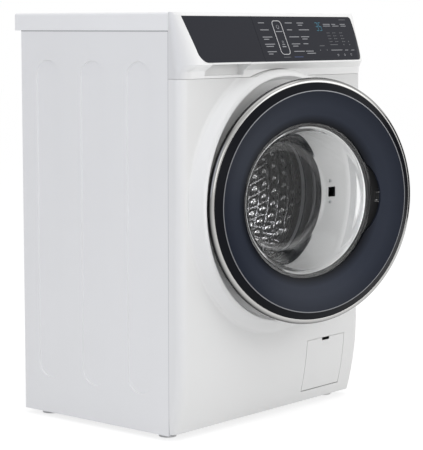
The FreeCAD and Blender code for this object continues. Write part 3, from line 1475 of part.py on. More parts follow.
bracket_field = hinge_block("bracket_field", arm_low - d.arm_gap, arm_high + d.plate_reach, d.seat_front,
                            d.mouth_front, d.plate_half)
bracket_plate = common("bracket_plate", panel_inner, bracket_field)
hinge_line = -d.hinge_across
arm_front = d.hinge_front + d.arm_half
arm_out = hinge_block("bracket_out", hinge_line, arm_high, arm_front, d.hinge_front - d.arm_half,
                      d.knuckle_half)
arm_back = hinge_block("bracket_back", arm_low, arm_high, arm_front, d.mouth_front + d.hatch_rebate,
                       d.knuckle_half)
knuckle = rod("bracket_knuckle", d.knuckle_radius, d.knuckle_half * 2, hinge_line, -d.hinge_front,
              d.door_height - d.knuckle_half, UPRIGHT)
pin_hole = rod("bracket_bore", d.pin_radius + d.running_fit, d.knuckle_half * 4, hinge_line, -d.hinge_front,
               d.door_height - d.knuckle_half * 2, UPRIGHT)
bracket_solid = fuse("bracket_solid", bracket_plate, arm_out, arm_back, knuckle)
keep(cut("bracket_whole", bracket_solid, pin_hole), "hinge_bracket")

# Door, drawn shut and then swung ajar about its hinge
swing_centre = V(-d.hinge_across.number, -d.hinge_front.number, 0)
swing = FreeCAD.Placement(V(), FreeCAD.Rotation(V(0, 0, 1), -SIZES["door_ajar"]), swing_centre)
shut = FreeCAD.Placement(V(0, 0, d.door_height.number), FreeCAD.Rotation())


def swung(thing, label, lift=False):
    thing.Placement = swing.multiply(shut) if lift else swing
    return keep(thing, label)


trim_arc = d.trim_round
trim_arc_in = d.trim_round - d.trim_wall + d.trim_edge
swung(turned("trim_ring", [
    (d.door_radius - d.trim_wall, -d.trim_back),
    (d.door_radius, -d.trim_back),
    (d.door_radius, -d.trim_shoulder),
    (d.trim_inner, -d.trim_front, -trim_arc),
    (d.trim_inner, -d.trim_front + d.trim_wall),
    (d.door_radius - d.trim_wall, -d.trim_shoulder + d.trim_edge * 2, trim_arc_in),
]), "door_trim", lift=True)
accent_in = d.accent_radius - d.accent_wide / 2
accent_out = d.accent_radius + d.accent_wide / 2
accent_floor = d.accent_front - d.accent_deep
skirt_in = d.frame_radius - d.trim_wall
cover_back = -d.trim_front + d.trim_wall
ring_back = -accent_floor + d.cover_skin * 0.75
cover_turned = move(turned("cover_turned", [
    (d.trim_inner, -d.trim_front + d.trim_edge),
    (d.trim_inner, cover_back),
    (d.frame_radius, cover_back + d.trim_edge * 2),
    (d.frame_radius, -d.frame_top),
    (skirt_in, -d.frame_top),
    (skirt_in, cover_back + d.trim_edge),
    (d.accent_radius, ring_back),
    (d.window_radius + d.cover_skin, -d.glass_front),
    (d.window_radius - d.trim_edge * 2, -d.glass_front),
    (d.window_radius, -d.window_front),
    (accent_in, -d.accent_front + d.trim_edge),
    (accent_in, -accent_floor),
    (accent_out, -accent_floor),
    (accent_out, -d.accent_front + d.trim_edge),
]), z=d.door_height)
scoop_edge = root(d.window_radius * d.window_radius - d.scoop_half * d.scoop_half)
scoop_square = d.scoop_reach * d.scoop_reach - d.window_radius * d.window_radius
scoop_across = scoop_square / ((d.scoop_reach - scoop_edge) * 2)
scoop = rod("scoop_tool", d.scoop_reach - scoop_across, d.accent_front * 2, scoop_across,
            -d.accent_front * 2, d.door_height)
hinge_room = hinge_block("hinge_room", -d.door_radius, arm_high + d.arm_gap * 2, -cover_back - d.trim_edge,
                         d.mouth_front, d.leaf_half + d.arm_gap)
swung(cut("cover_whole", cover_turned, scoop, hinge_room), "door_cover")
accent_line = turned("accent_line", oblong(accent_in, accent_out, -d.accent_front, -accent_floor))
swung(accent_line, "accent_ring", lift=True)
skirt_back = -d.frame_top + d.frame_skirt
frame_turned = move(turned("frame_turned", [
    (d.frame_radius, -d.frame_top),
    (d.frame_radius, skirt_back),
    (d.frame_radius - d.frame_wall, skirt_back + d.frame_wall * 0.8),
    (d.frame_inner, -d.frame_back),
    (d.frame_inner, -d.glass_back),
    (d.glass_rim + d.frame_wall, -d.glass_back),
    (skirt_in - d.frame_wall * 0.6, skirt_back),
    (skirt_in, skirt_back - d.frame_wall * 0.6),
    (skirt_in, -d.frame_top),
]), z=d.door_height)
hook_high = d.door_height
pivot_lugs = []
lug_middle = d.hook_half + d.lock_gap + d.thread_gap + d.hook_lug / 2
for side in (-1, 1):
    centre = hook_high + lug_middle * side
    pivot_lugs.append(block("hook_lug", d.hook_across - d.hook_lug, d.hook_across + d.hook_lug,
                            -d.hook_pivot - d.pin_radius * 2, -d.glass_back - d.sheet,
                            centre - d.hook_lug / 2, centre + d.hook_lug / 2))
pivot_bore = rod("hook_bore", d.pin_radius + d.running_fit, d.hook_half * 8, d.hook_across, -d.hook_pivot,
                 hook_high - d.hook_half * 4, UPRIGHT)
hook_gate = block("hook_gate", d.hook_across - d.hook_thick * 2, d.hook_across + d.hook_thick * 2,
                  -d.frame_top, -d.mouth_front, hook_high - slot_half, hook_high + slot_half)
frame_room = hinge_block("frame_room", -d.door_radius, arm_high + d.arm_gap * 2.5, d.trim_front,
                         d.mouth_front, d.plate_half + d.arm_gap * 2)
frame_lugged = fuse("frame_lugged", frame_turned, *pivot_lugs)
swung(cut("frame_whole", frame_lugged, pivot_bore, hook_gate, frame_room), "door_frame")
bowl_in = d.bowl_end_radius - d.bowl_wall
swung(turned("bowl_glass", [
    (NIL, -d.bowl_end + d.bowl_dome),
    (d.bowl_end_radius * 0.85, -d.bowl_end + d.bowl_dome * 0.6),
    (d.bowl_end_radius, -d.bowl_end, -d.bowl_dome * 2.2),
    (d.bowl_radius, -d.bowl_neck),
    (d.frame_inner - d.trim_edge, -d.glass_back),
    (d.glass_rim, -d.glass_back),
    (d.glass_rim, -d.glass_front),
    (d.bowl_radius + d.bowl_wall * 0.9, -d.glass_front),
    (d.bowl_radius - d.bowl_wall, -d.bowl_neck - d.trim_edge * 2),
    (bowl_in, -d.bowl_end - d.trim_edge * 2),
    (bowl_in * 0.85, -d.bowl_end + d.bowl_dome * 0.6 - d.bowl_wall, d.bowl_dome * 2),
    (NIL, -d.bowl_end + d.bowl_dome - d.bowl_wall),
]), "door_bowl", lift=True)
leaf_parts = []
leaf_thick = d.leaf_half - d.knuckle_half - d.thread_gap
for leaf_low in (d.door_height - d.leaf_half, d.door_height + d.leaf_half - leaf_thick):
    leaf_parts.append(block("leaf_ear", hinge_line, arm_high, -d.accent_front, -d.hinge_front + d.arm_half,
                            leaf_low, leaf_low + leaf_thick))
    leaf_parts.append(rod("leaf_eye", d.arm_half, leaf_thick, hinge_line, -d.hinge_front, leaf_low, UPRIGHT))
leaf_parts.append(rod("leaf_pin", d.pin_radius, d.leaf_half * 2, hinge_line, -d.hinge_front,
                      d.door_height - d.leaf_half, UPRIGHT))
leaf_edge = d.door_radius - d.trim_wall - d.trim_edge
leaf_cover = move(turned("leaf_cover", [
    (d.door_radius, -d.glass_front),
    (d.door_radius, -d.accent_front * 2),
    (d.window_radius, -d.accent_front * 2),
    (d.window_radius, -d.glass_front),
    (d.window_radius + d.cover_skin, -d.glass_front),
    (d.accent_radius, ring_back),
    (skirt_in, cover_back + d.trim_edge),
    (d.trim_inner, cover_back + d.trim_edge),
    (leaf_edge, -d.trim_shoulder + d.trim_edge, trim_arc_in),
    (leaf_edge, -d.glass_front),
]), z=d.door_height)
swung(cut("leaf_whole", fuse("leaf_solid", *leaf_parts), leaf_cover), "door_hinge")
hook_side = d.hook_thick / 2
hook_plate = block("hook_plate", d.hook_across - hook_side, d.hook_across + hook_side,
                   -d.hook_pivot - hook_side, -d.hook_tip, hook_high - d.hook_half, hook_high + d.hook_half)
hook_nose = block("hook_nose", d.hook_across, d.hook_across + hook_side + d.hook_nose,
                  -d.hook_tip - d.hook_lug, -d.hook_tip, hook_high - d.hook_half, hook_high + d.hook_half)
hook_reach = lug_middle + d.hook_lug / 2
hook_pin = rod("hook_pin", d.pin_radius, hook_reach * 2, d.hook_across, -d.hook_pivot,
               hook_high - hook_reach, UPRIGHT)
swung(fuse("hook_whole", hook_plate, hook_nose, hook_pin), "latch_hook")

doc.recompute()

faults = []
for thing in doc.Objects:
    if "Invalid" in thing.State or "Error" in thing.State:
        faults.append(thing.Name)
for thing in pieces:
    shape = thing.Shape
    if shape.isNull() or not shape.isValid() or not shape.Solids:
        faults.append(thing.Label)
if faults:
    raise RuntimeError("not built: " + ", ".join(faults))
for thing in pieces:
    thing.Shape.exportStep(f"parts/{thing.Label}.step")
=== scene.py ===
import math

import bmesh
import bpy
from mathutils import Matrix, Vector


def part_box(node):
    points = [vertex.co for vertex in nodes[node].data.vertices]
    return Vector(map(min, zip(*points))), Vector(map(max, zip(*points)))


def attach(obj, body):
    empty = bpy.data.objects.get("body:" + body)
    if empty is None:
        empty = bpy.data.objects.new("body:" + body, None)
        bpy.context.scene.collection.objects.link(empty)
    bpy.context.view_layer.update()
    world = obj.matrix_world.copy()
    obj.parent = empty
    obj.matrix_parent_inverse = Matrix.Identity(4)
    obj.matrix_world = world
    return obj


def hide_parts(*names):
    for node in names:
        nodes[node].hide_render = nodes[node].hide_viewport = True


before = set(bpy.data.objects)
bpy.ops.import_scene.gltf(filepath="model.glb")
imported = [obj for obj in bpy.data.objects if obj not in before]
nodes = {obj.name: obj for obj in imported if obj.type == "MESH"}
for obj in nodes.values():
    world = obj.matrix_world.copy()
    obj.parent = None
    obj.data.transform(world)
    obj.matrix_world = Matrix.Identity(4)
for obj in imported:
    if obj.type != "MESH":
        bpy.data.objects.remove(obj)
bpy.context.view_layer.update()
scene = bpy.context.scene

MM = 0.001
FULL_TURN = 2 * math.pi

# The drum, the round mouth and the door share one level line.
DRUM_HEIGHT = 468 * MM

# The door stands ajar, turned about an upright pin on its left edge.
HINGE = Vector((-243 * MM, -266.5 * MM, 0))
AJAR = math.radians(17.33)

# The leaning dark window of the control fascia, from its upper to its lower edge.
WINDOW_TOP = Vector((0, -216.4 * MM, 845 * MM))
WINDOW_FOOT = Vector((0, -259.0 * MM, 748 * MM))


# Materials


def shades(colour, part):
    """A colour made darker and lighter by this part of itself."""
    darker = tuple(value * (1 - part) for value in colour)
    lighter = tuple(min(1.0, value * (1 + part)) for value in colour)
    return darker, lighter


class Finish:
    """A node material with object coordinates, ready for colour, gloss and grain."""

    GLOSS_SCALE = 300.0
    GLOSS_VARY = 0.02

    # The mix node has sockets for each kind of data. These are the ones for colour.
    MIX_FIRST, MIX_SECOND, MIX_RESULT = 6, 7, 2

    def __init__(self, name):
        self.material = bpy.data.materials.new(name)
        self.material.use_nodes = True
        self.tree = self.material.node_tree
        self.shader = self.tree.nodes["Principled BSDF"]
        self.place = self.add("ShaderNodeTexCoord").outputs["Object"]

    def add(self, kind, **settings):
        node = self.tree.nodes.new(kind)
        for key, value in settings.items():
            setattr(node, key, value)
        return node

    def link(self, start, end):
        self.tree.links.new(start, end)

    def set(self, **values):
        for key, value in values.items():
            self.shader.inputs[key.replace("_", " ")].default_value = value

    def noise(self, scale, detail=3.0, place=None):
        node = self.add("ShaderNodeTexNoise")
        node.inputs["Scale"].default_value = scale
        node.inputs["Detail"].default_value = detail
        self.link(place or self.place, node.inputs["Vector"])
        return node.outputs["Fac"]

    def mapped(self, **values):
        """The place moved, turned or stretched."""
        node = self.add("ShaderNodeMapping")
        for key, value in values.items():
            node.inputs[key].default_value = value
        self.link(self.place, node.inputs["Vector"])
        return node.outputs["Vector"]

    def axis(self, name, place=None):
        """One coordinate of a place."""
        node = self.add("ShaderNodeSeparateXYZ")
        self.link(place or self.place, node.inputs["Vector"])
        return node.outputs[name]

    def reach(self, place):
        """How far a place is from the level axis that runs front to back."""
        flat = self.add("ShaderNodeVectorMath", operation="MULTIPLY")
        flat.inputs[1].default_value = (1, 0, 1)
        self.link(place, flat.inputs[0])
        length = self.add("ShaderNodeVectorMath", operation="LENGTH")
        self.link(flat.outputs["Vector"], length.inputs[0])
        return length.outputs["Value"]

    def ramp(self, factor, low, high, start=0.3, end=0.7):
        node = self.add("ShaderNodeValToRGB")
        node.color_ramp.elements[0].position = start
        node.color_ramp.elements[1].position = end
        node.color_ramp.elements[0].color = (*low, 1)
        node.color_ramp.elements[1].color = (*high, 1)
        self.link(factor, node.inputs["Fac"])
        return node.outputs["Color"]

    def mix(self, factor, first, second):
        node = self.add("ShaderNodeMix", data_type="RGBA")
        self.link(factor, node.inputs["Factor"])
        self.link(first, node.inputs[self.MIX_FIRST])
        self.link(second, node.inputs[self.MIX_SECOND])
        return node.outputs[self.MIX_RESULT]

    def spread(self, factor, low, high, start=0.3, end=0.7):
        node = self.add("ShaderNodeMapRange")
        node.inputs["From Min"].default_value = start
        node.inputs["From Max"].default_value = end
        node.inputs["To Min"].default_value = low
        node.inputs["To Max"].default_value = high
        self.link(factor, node.inputs["Value"])
        return node.outputs["Result"]

    def step(self, value, edge, soft=0.6 * MM):
        """Zero below an edge and one above it."""
        return self.spread(value, 0, 1, edge - soft, edge + soft)

    def tone(self, colour, vary, scale=6.0):
        """A colour that drifts a little."""
        return self.ramp(self.noise(scale), *shades(colour, vary))

    def colour(self, socket):
        self.link(socket, self.shader.inputs["Base Color"])

    def gloss(self, socket):
        self.link(socket, self.shader.inputs["Roughness"])

    def bump(self, height, distance, strength=0.5):
        node = self.add("ShaderNodeBump")
        node.inputs["Strength"].default_value = strength
        node.inputs["Distance"].default_value = distance
        self.link(height, node.inputs["Height"])
        self.link(node.outputs["Normal"], self.shader.inputs["Normal"])

    def surface(self, rough, grain, depth, detail=3.0, strength=0.5):
        """Uneven gloss and a fine grain."""
        patchy = self.noise(self.GLOSS_SCALE)
        self.gloss(self.spread(patchy, rough - self.GLOSS_VARY, rough + self.GLOSS_VARY))
        self.bump(self.noise(grain, detail=detail), depth, strength)


def plain(name, colour, rough, grain=900.0, depth=0.00004, vary=0.02, **sockets):
    """A moulded, painted or plated surface."""
    finish = Finish(name)
    finish.colour(finish.tone(colour, vary))
    finish.surface(rough, grain, depth, detail=2.0)
    finish.set(**sockets)
    return finish


def drawn_metal(name, colour, rough):
    """Rolled metal, its fine lines running round the drum."""
    finish = Finish(name)
    lines = finish.noise(1.0, detail=4.0, place=finish.mapped(Scale=(30, 400, 30)))
    finish.colour(finish.ramp(lines, *shades(colour, 0.06)))
    finish.gloss(finish.spread(lines, rough * 0.7, rough * 1.3))
    finish.bump(lines, 0.00002, strength=0.1)
    finish.set(Metallic=1.0)
    return finish


def galvanised(name, colour):
    """Zinc-coated sheet with its small pattern of crystals."""
    finish = Finish(name)
    crystals = finish.add("ShaderNodeTexVoronoi")
    crystals.inputs["Scale"].default_value = 110.0
    finish.link(finish.place, crystals.inputs["Vector"])
    shade = finish.add("ShaderNodeSeparateColor")
    finish.link(crystals.outputs["Color"], shade.inputs["Color"])
    finish.colour(finish.ramp(shade.outputs["Red"], *shades(colour, 0.05), start=0.0, end=1.0))
    finish.gloss(finish.spread(shade.outputs["Green"], 0.38, 0.46, start=0.0, end=1.0))
    finish.bump(finish.noise(300.0), 0.00002, strength=0.2)
    finish.set(Metallic=1.0)
    return finish


def door_place(finish):
    """Where a point of the ajar door would be with the door shut, from the door's own axis."""
    turn = Matrix.Rotation(AJAR, 3, "Z")
    shift = HINGE - turn @ HINGE - Vector((0, 0, DRUM_HEIGHT))
    return finish.mapped(Rotation=(0, 0, AJAR), Location=shift)


WHITE = (0.79, 0.79, 0.785)
# Painted light: a lighter white for faces that lie in shade.
LIT_WHITE = (0.95, 0.95, 0.945)
SIDE_WHITE = (0.815, 0.815, 0.815)
FASCIA_WHITE = (0.82, 0.82, 0.815)
# Painted shade: a greyer white for the fascia's left cheek.
CHEEK_SHADE = (0.72, 0.72, 0.72)
# Painted shadow: the dark line on the side panels under the lid's edge.
LID_SHADOW = (0.20, 0.20, 0.205)
SEAM_GREY = (0.52, 0.52, 0.53)
CHARCOAL = (0.0068, 0.0078, 0.0145)
NAVY = (0.0240, 0.0290, 0.0430)
# Painted shade: a darker navy and a near black for the shaded edges of the door's ring; the near
# black is also the ring's own dark band outside its silver line.
SHADED_NAVY = (0.0130, 0.0165, 0.0270)
BAND_AND_LIP_SHADE = (0.0010, 0.0016, 0.0040)
BLACK = (0.022, 0.022, 0.023)
BEDDING = (0.006, 0.006, 0.007)
# Painted shade: lit and shaded tones of the door's chrome rim.
RIM_SHADE = (0.012, 0.012, 0.014)
RIM_LIT = (0.50, 0.495, 0.485)

white_paint = plain("white_enamel", SIDE_WHITE, 0.40, grain=260, depth=0.00003, vary=0.006)
white_plastic = plain("white_moulding", WHITE, 0.36, grain=700, vary=0.01)
lid_plastic = plain("lid_moulding", (0.84, 0.84, 0.84), 0.52, grain=700, vary=0.01,
                    Specular_IOR_Level=0.15)
grey_plastic = plain("grey_moulding", (0.36, 0.37, 0.385), 0.5, grain=600, depth=0.0001)
black_plastic = plain("black_moulding", BLACK, 0.48, grain=600, depth=0.0001)
dark_panel = plain("charcoal_panel", CHARCOAL, 0.38, grain=800, depth=0.00002, vary=0.05,
                   Specular_IOR_Level=0.2)
rubber = plain("grey_rubber", (0.030, 0.032, 0.037), 0.55, grain=420, depth=0.00012, vary=0.08,
               Specular_IOR_Level=0.3)
concrete = plain("cast_concrete", (0.38, 0.375, 0.36), 0.88, grain=160, depth=0.0008, vary=0.16)
cast_metal = plain("cast_alloy", (0.52, 0.52, 0.53), 0.45, grain=300, depth=0.0002, Metallic=1.0)
zinc = galvanised("galvanised_sheet", (0.50, 0.51, 0.52))
chrome = plain("chrome_plating", (0.74, 0.745, 0.76), 0.12, grain=500, depth=0.000006, Metallic=1.0)
silver = plain("satin_silver", (0.62, 0.63, 0.65), 0.28, Metallic=1.0)
accent_line = plain("satin_line", (0.26, 0.265, 0.28), 0.32, Metallic=1.0)
key_line = plain("key_line", (0.66, 0.66, 0.67), 0.40, grain=500)
# Painted shade: the drum's steel is dark for the shade inside the drum.
drum_steel = drawn_metal("stainless_drum", (0.12, 0.12, 0.123), 0.24)
rim_steel = drawn_metal("rim_steel", (0.45, 0.45, 0.455), 0.26)
# Painted highlight: the drum's pads and ridges are nearly white to stand for their glints.
pad_glint = plain("glinting_pads", (0.95, 0.95, 0.95), 0.20, grain=300, depth=0.00002,
                  Metallic=0.75)


def glass_finish():
    finish = Finish("clear_glass")
    finish.colour(finish.ramp(finish.noise(4.0), (0.965, 0.975, 0.98), (0.985, 0.99, 0.99)))
    finish.gloss(finish.spread(finish.noise(200.0), 0.0, 0.015))
    finish.bump(finish.noise(9.0, detail=1.0), 0.00001, strength=0.03)
    finish.set(Transmission_Weight=1.0, IOR=1.45)
    return finish


def cover_finish():
    """The door's tinted ring: navy, deepened by painted shade at both edges, and dark outside the
    silver line.
    """
    lip_shade_start, lip_shade_end = 160 * MM, 178 * MM
    edge_shade_start, edge_shade_full = 196 * MM, 225.5 * MM
    silver_line = 226.5 * MM
    finish = Finish("navy_ring")
    reach = finish.reach(door_place(finish))
    navy, deep, dark = (finish.tone(colour, 0.05, scale=5.0) for colour in (NAVY, SHADED_NAVY, BAND_AND_LIP_SHADE))
    # Painted shade: the navy darkens into the lip round the window and towards the outer edge; past
    # the silver line the band is dark in its own colour.
    inner = finish.mix(finish.spread(reach, 0, 1, lip_shade_start, lip_shade_end), dark, navy)
    face = finish.mix(finish.spread(reach, 0, 1, edge_shade_start, edge_shade_full), inner, deep)
    finish.colour(finish.mix(finish.step(reach, silver_line), face, dark))
    finish.surface(0.32, 500, 0.00002, strength=0.3)
    finish.set(Specular_IOR_Level=0.12)
    return finish


def rim_finish():
    """The door's chromed rim, with painted shade: bright on its face, darkening round the turn to
    its back edge.
    """
    face, back = -274 * MM, -264 * MM
    finish = Finish("chrome_rim")
    # Painted shade: the chrome's colour falls from its face round the turn to its back edge.
    turn = finish.spread(finish.axis("Y", door_place(finish)), 1, 0, face, back)
    finish.colour(finish.ramp(turn, RIM_SHADE, RIM_LIT, start=0.5, end=1.0))
    finish.surface(0.12, 500, 0.000006)
    finish.set(Metallic=1.0)
    return finish


def frame_finish():
    """The door's black back frame, with a darker bedding ring under the rim of the glass."""
    bedding_edge = 163.5 * MM
    finish = Finish("black_frame")
    within, without = finish.tone(BEDDING, 0.05), finish.tone(BLACK, 0.05)
    outside = finish.step(finish.reach(door_place(finish)), bedding_edge)
    finish.colour(finish.mix(outside, within, without))
    finish.surface(0.48, 600, 0.0001)
    finish.set(Specular_IOR_Level=0.05)
    return finish


def side_finish():
    """The side panels' enamel, with a painted shadow line under the lid and a grey strip beside the
    front panel.
    """
    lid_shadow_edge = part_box("top_cover")[0].z - 1.5 * MM
    front_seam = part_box("left_side_panel")[0].y + 1.2 * MM
    soft = 0.3 * MM
    finish = Finish("side_enamel")
    white = finish.tone(SIDE_WHITE, 0.006)
    dark, grey = finish.tone(LID_SHADOW, 0.02), finish.tone(SEAM_GREY, 0.02)
    beside = finish.mix(finish.step(finish.axis("Y"), front_seam, soft), grey, white)
    # Painted shadow: dark just under the lid's lower edge, standing in for a shadow gap between lid
    # and panel.
    finish.colour(finish.mix(finish.step(finish.axis("Z"), lid_shadow_edge, soft), beside, dark))
    finish.surface(0.40, 260, 0.00003, detail=2.0)
    return finish


def front_finish():
    """The front panel's enamel, a shade lighter by painted light on the flank of the dish that the
    door sits in.
    """
    flank_start, flank_full = 228 * MM, 244 * MM
    crest = 258 * MM
    finish = Finish("front_enamel")
    white, bright = finish.tone(WHITE, 0.006), finish.tone(LIT_WHITE, 0.006)
    reach = finish.reach(finish.mapped(Location=(0, 0, -DRUM_HEIGHT)))
    # Painted light: the dish's flank, in the door's shade, is lightened.
    flank = finish.mix(finish.spread(reach, 0, 1, flank_start, flank_full), white, bright)
    finish.colour(finish.mix(finish.step(reach, crest, soft=3 * MM), flank, white))
    finish.surface(0.40, 260, 0.00003, detail=2.0)
    return finish


def fascia_finish():
    """The white control fascia: lighter below its window by painted light, and a shade greyer on
    its left cheek by painted shade.
    """
    cheek_edge = -282 * MM
    finish = Finish("fascia_moulding")
    white, bright = finish.tone(FASCIA_WHITE, 0.01), finish.tone(LIT_WHITE, 0.01)
    cheek = finish.tone(CHEEK_SHADE, 0.01)
    # Painted light under the window's lip, and painted shade on the left cheek.
    front = finish.mix(finish.step(finish.axis("Z"), WINDOW_FOOT.z), bright, white)
    finish.colour(finish.mix(finish.step(finish.axis("X"), cheek_edge, soft=14 * MM), cheek, front))
    finish.surface(0.36, 700, 0.00004)
    return finish


def drawer_finish():
    """The drawer's front is dark with the panel, and white below it where it is pulled."""
    dark_foot = 751.5 * MM
    finish = Finish("drawer_face")
    white, dark = finish.tone(WHITE, 0.01), finish.tone(CHARCOAL, 0.05)
    finish.colour(finish.mix(finish.step(finish.axis("Z"), dark_foot), white, dark))
    finish.surface(0.38, 700, 0.00003)
    finish.set(Specular_IOR_Level=0.2)
    return finish


door_glass = glass_finish()
rim_chrome = rim_finish()
side_enamel = side_finish()
front_enamel = front_finish()

# The finish of each material slot of the solids, and of nodes that have one of their own.
FINISHES = {
    "white_paint": white_paint,
    "white_plastic": white_plastic,
    "dark_panel": dark_panel,
    "navy_plastic": cover_finish(),
    "chrome": chrome,
    "silver": silver,
    "door_glass": door_glass,
    "seal_rubber": rubber,
    "drum_steel": drum_steel,
    "zinc_steel": zinc,
    "grey_plastic": grey_plastic,
    "black_plastic": black_plastic,
    "cast_metal": cast_metal,
    "concrete": concrete,
}
OWN_FINISHES = {
    "key_trim": key_line,
    "drum_front": rim_steel,
    "left_side_panel": side_enamel,
    "right_side_panel": side_enamel,
    "front_panel": front_enamel,
    "service_hatch": front_enamel,
    "top_cover": lid_plastic,
    "control_fascia": fascia_finish(),
    "drawer_front": drawer_finish(),
    "accent_ring": accent_line,
    "door_frame": frame_finish(),
}

for name, node in nodes.items():
    for slot in node.material_slots:
        usual = FINISHES[slot.material.name.split(".")[0]]
        slot.material = OWN_FINISHES.get(name, usual).material


# Pieces


def mesh_of(name, work, smooth=True):
    mesh = bpy.data.meshes.new(name)
    bmesh.ops.recalc_face_normals(work, faces=work.faces)
    work.to_mesh(mesh)
    work.free()
    for face in mesh.polygons:
        face.use_smooth = smooth
    return mesh


def piece(name, work, body, finish, smooth=True):
    """An object with this mesh and finish, riding on a body."""
    thing = bpy.data.objects.new(name, mesh_of(name, work, smooth))
    scene.collection.objects.link(thing)
    thing.data.materials.append(finish.material)
    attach(thing, body)
    return thing


def bridge(work, rows):
    """Faces from each closed row of points to the next."""
    count = len(rows[0])
    for first, second in zip(rows, rows[1:]):
        for k in range(count):
            after = (k + 1) % count
            work.faces.new((first[k], first[after], second[after], second[k]))


def tube(work, rows):
    """A bridge that is shut at both ends."""
    bridge(work, rows)
    work.faces.new(rows[0])
    work.faces.new(rows[-1])


def thicken(sheet):
    thick = sheet.modifiers.new("sheet", "SOLIDIFY")
    thick.thickness = 0.8 * MM
    thick.offset = 0


def perforated_wall():
    """The drum's rolled wall: rows of pressed pads with holes, and slanting ridges at its back."""
    low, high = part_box("drum_wrapper")
    radius = (high.x - low.x) / 2
    inset = 0.5 * MM
    around, along = 54, 10
    turn = FULL_TURN / around
    pitch = (high.y - low.y) / along
    small_rows, small_share = 6, 0.80
    pad, pad_top = 6.7 * MM, 0.62
    rise, foot = 2.6 * MM, 0.2 * MM
    hole, hole_rise = 1.5 * MM, 0.8 * rise
    ridge, ridge_rise = 1.8 * MM, 0.6 * rise
    corners = [(-1, -1), (0, -1), (1, -1), (1, 0), (1, 1), (0, 1), (-1, 1), (-1, 0)]

    def on_wall(work, angle, y, lift):
        reach = radius - inset - lift
        return work.verts.new((reach * math.sin(angle), y, DRUM_HEIGHT + reach * math.cos(angle)))

    def ring_of(work, heading, middle, reach, lift):
        ring = []
        for u, v in corners:
            size = math.hypot(u, v)
            angle = heading + u / size * reach / radius
            ring.append(on_wall(work, angle, middle + v / size * reach, lift))
        return ring

    flats, pads, ridges = bmesh.new(), bmesh.new(), bmesh.new()
    for row in range(along):
        middle = low.y + (row + 0.5) * pitch
        size = pad if row >= small_rows else pad * small_share
        for column in range(around):
            heading = (column + 0.5 * (row % 2)) * turn
            edge = [on_wall(flats, heading + u * turn / 2, middle + v * pitch / 2, 0)
                    for u, v in corners]
            bridge(flats, [edge, ring_of(flats, heading, middle, size, foot)])
            bridge(pads, [ring_of(pads, heading, middle, size, foot),
                          ring_of(pads, heading, middle, size * pad_top, rise),
                          ring_of(pads, heading, middle, hole, hole_rise)])

    # A ridge runs between the pads and moves on by a quarter of their spacing each half row.
    for column in range(around):
        stations = []
        for half_row in range(2 * small_rows - 1, 2 * along + 1):
            heading = (column + 0.25 + 0.25 * half_row) * turn
            y = low.y + half_row * pitch / 2
            stations.append([on_wall(ridges, heading + side * ridge / radius, y, lift)
                             for side, lift in ((-1, foot), (0, ridge_rise), (1, foot))])
        tube(ridges, stations)

    piece("drum_ridges", ridges, "drum", pad_glint, smooth=False)
    bmesh.ops.remove_doubles(flats, verts=flats.verts, dist=0.05 * MM)
    wall = piece("drum_wall", flats, "drum", drum_steel)
    bosses = piece("drum_pads", pads, "drum", pad_glint)
    thicken(wall)
    thicken(bosses)
    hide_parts("drum_wrapper")


def pressed_back():
    """The drum's back plate, pressed with a ring of petals and rows of small pads."""
    low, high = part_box("drum_back")
    radius = (high.x - low.x) / 2
    middle = (low.y + high.y) / 2
    inner = 14 * MM
    around, rings = 144, 56
    petals, petal_rise = 6, 1.6 * MM
    pads, pad_rise, pads_from = 36, 1.4 * MM, 0.62

    def lift(reach, angle):
        share = (reach - inner) / (radius - inner)
        petal = max(0.0, math.sin(petals * angle)) * math.sin(math.pi * min(1, share * 1.6))
        pad = max(0.0, math.cos(pads * angle)) * max(0.0, math.sin(share * 40))
        return petal_rise * petal + pad_rise * pad * (1 if share > pads_from else 0)

    work = bmesh.new()
    rows = []
    for ring in range(rings + 1):
        reach = inner + (radius - inner) * ring / rings
        row = []
        for k in range(around):
            angle = FULL_TURN * k / around
            row.append(work.verts.new((reach * math.sin(angle), middle - lift(reach, angle),
                                       DRUM_HEIGHT + reach * math.cos(angle))))
        rows.append(row)
    bridge(work, rows)
    work.faces.new(rows[0])
    back_plate = piece("drum_back_plate", work, "drum", drum_steel)
    thicken(back_plate)
    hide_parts("drum_back")


def hung(x, y, z):
    """A point of the shut door, in mm, where it is with the door ajar."""
    shut = Vector((x, y, z)) * MM
    return HINGE + Matrix.Rotation(-AJAR, 3, "Z") @ (shut - HINGE)


def lathe(profile):
    """A ring or bowl about the door's axis, from (radius, distance forward) points in mm."""
    steps = 180
    level = DRUM_HEIGHT / MM
    work = bmesh.new()
    rows = []
    for reach, front in profile:
        row = []
        for k in range(steps):
            angle = FULL_TURN * k / steps
            place = hung(reach * math.sin(angle), -front, level + reach * math.cos(angle))
            row.append(work.verts.new(place))
        rows.append(row)
    bridge(work, rows)
    bmesh.ops.remove_doubles(work, verts=work.verts, dist=0.01 * MM)
    return work


def glass_bowl():
    """The door's glass: a deep bowl with a flat rim, turned finely enough to bend light."""
    drum_side = [
        (0, 143.0), (40, 143.6), (75, 145.0), (96, 146.3), (105.2, 146.7), (109.8, 147.3),
        (114.4, 149.2), (117.4, 151.8), (118.4, 153.8), (120.0, 158.0), (145.6, 236.0),
        (147.0, 239.6), (149.4, 243.8), (151.6, 246.6), (153.0, 247.0), (161.0, 247.0),
        (161.7, 247.3), (162.0, 248.0),
    ]
    front_side = [
        (162.0, 250.2), (161.7, 250.9), (161.0, 251.2), (153.5, 251.2), (151.2, 250.8),
        (149.4, 249.2), (144.0, 243.0), (142.4, 240.6), (140.8, 236.0), (115.2, 158.0),
        (113.6, 154.4), (111.6, 151.8), (106.0, 150.4), (96.5, 149.9), (75, 149.0),
        (40, 148.0), (0, 147.5),
    ]
    bowl = piece("glass_bowl", lathe(drum_side + front_side), "door", door_glass)
    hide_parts("door_bowl")


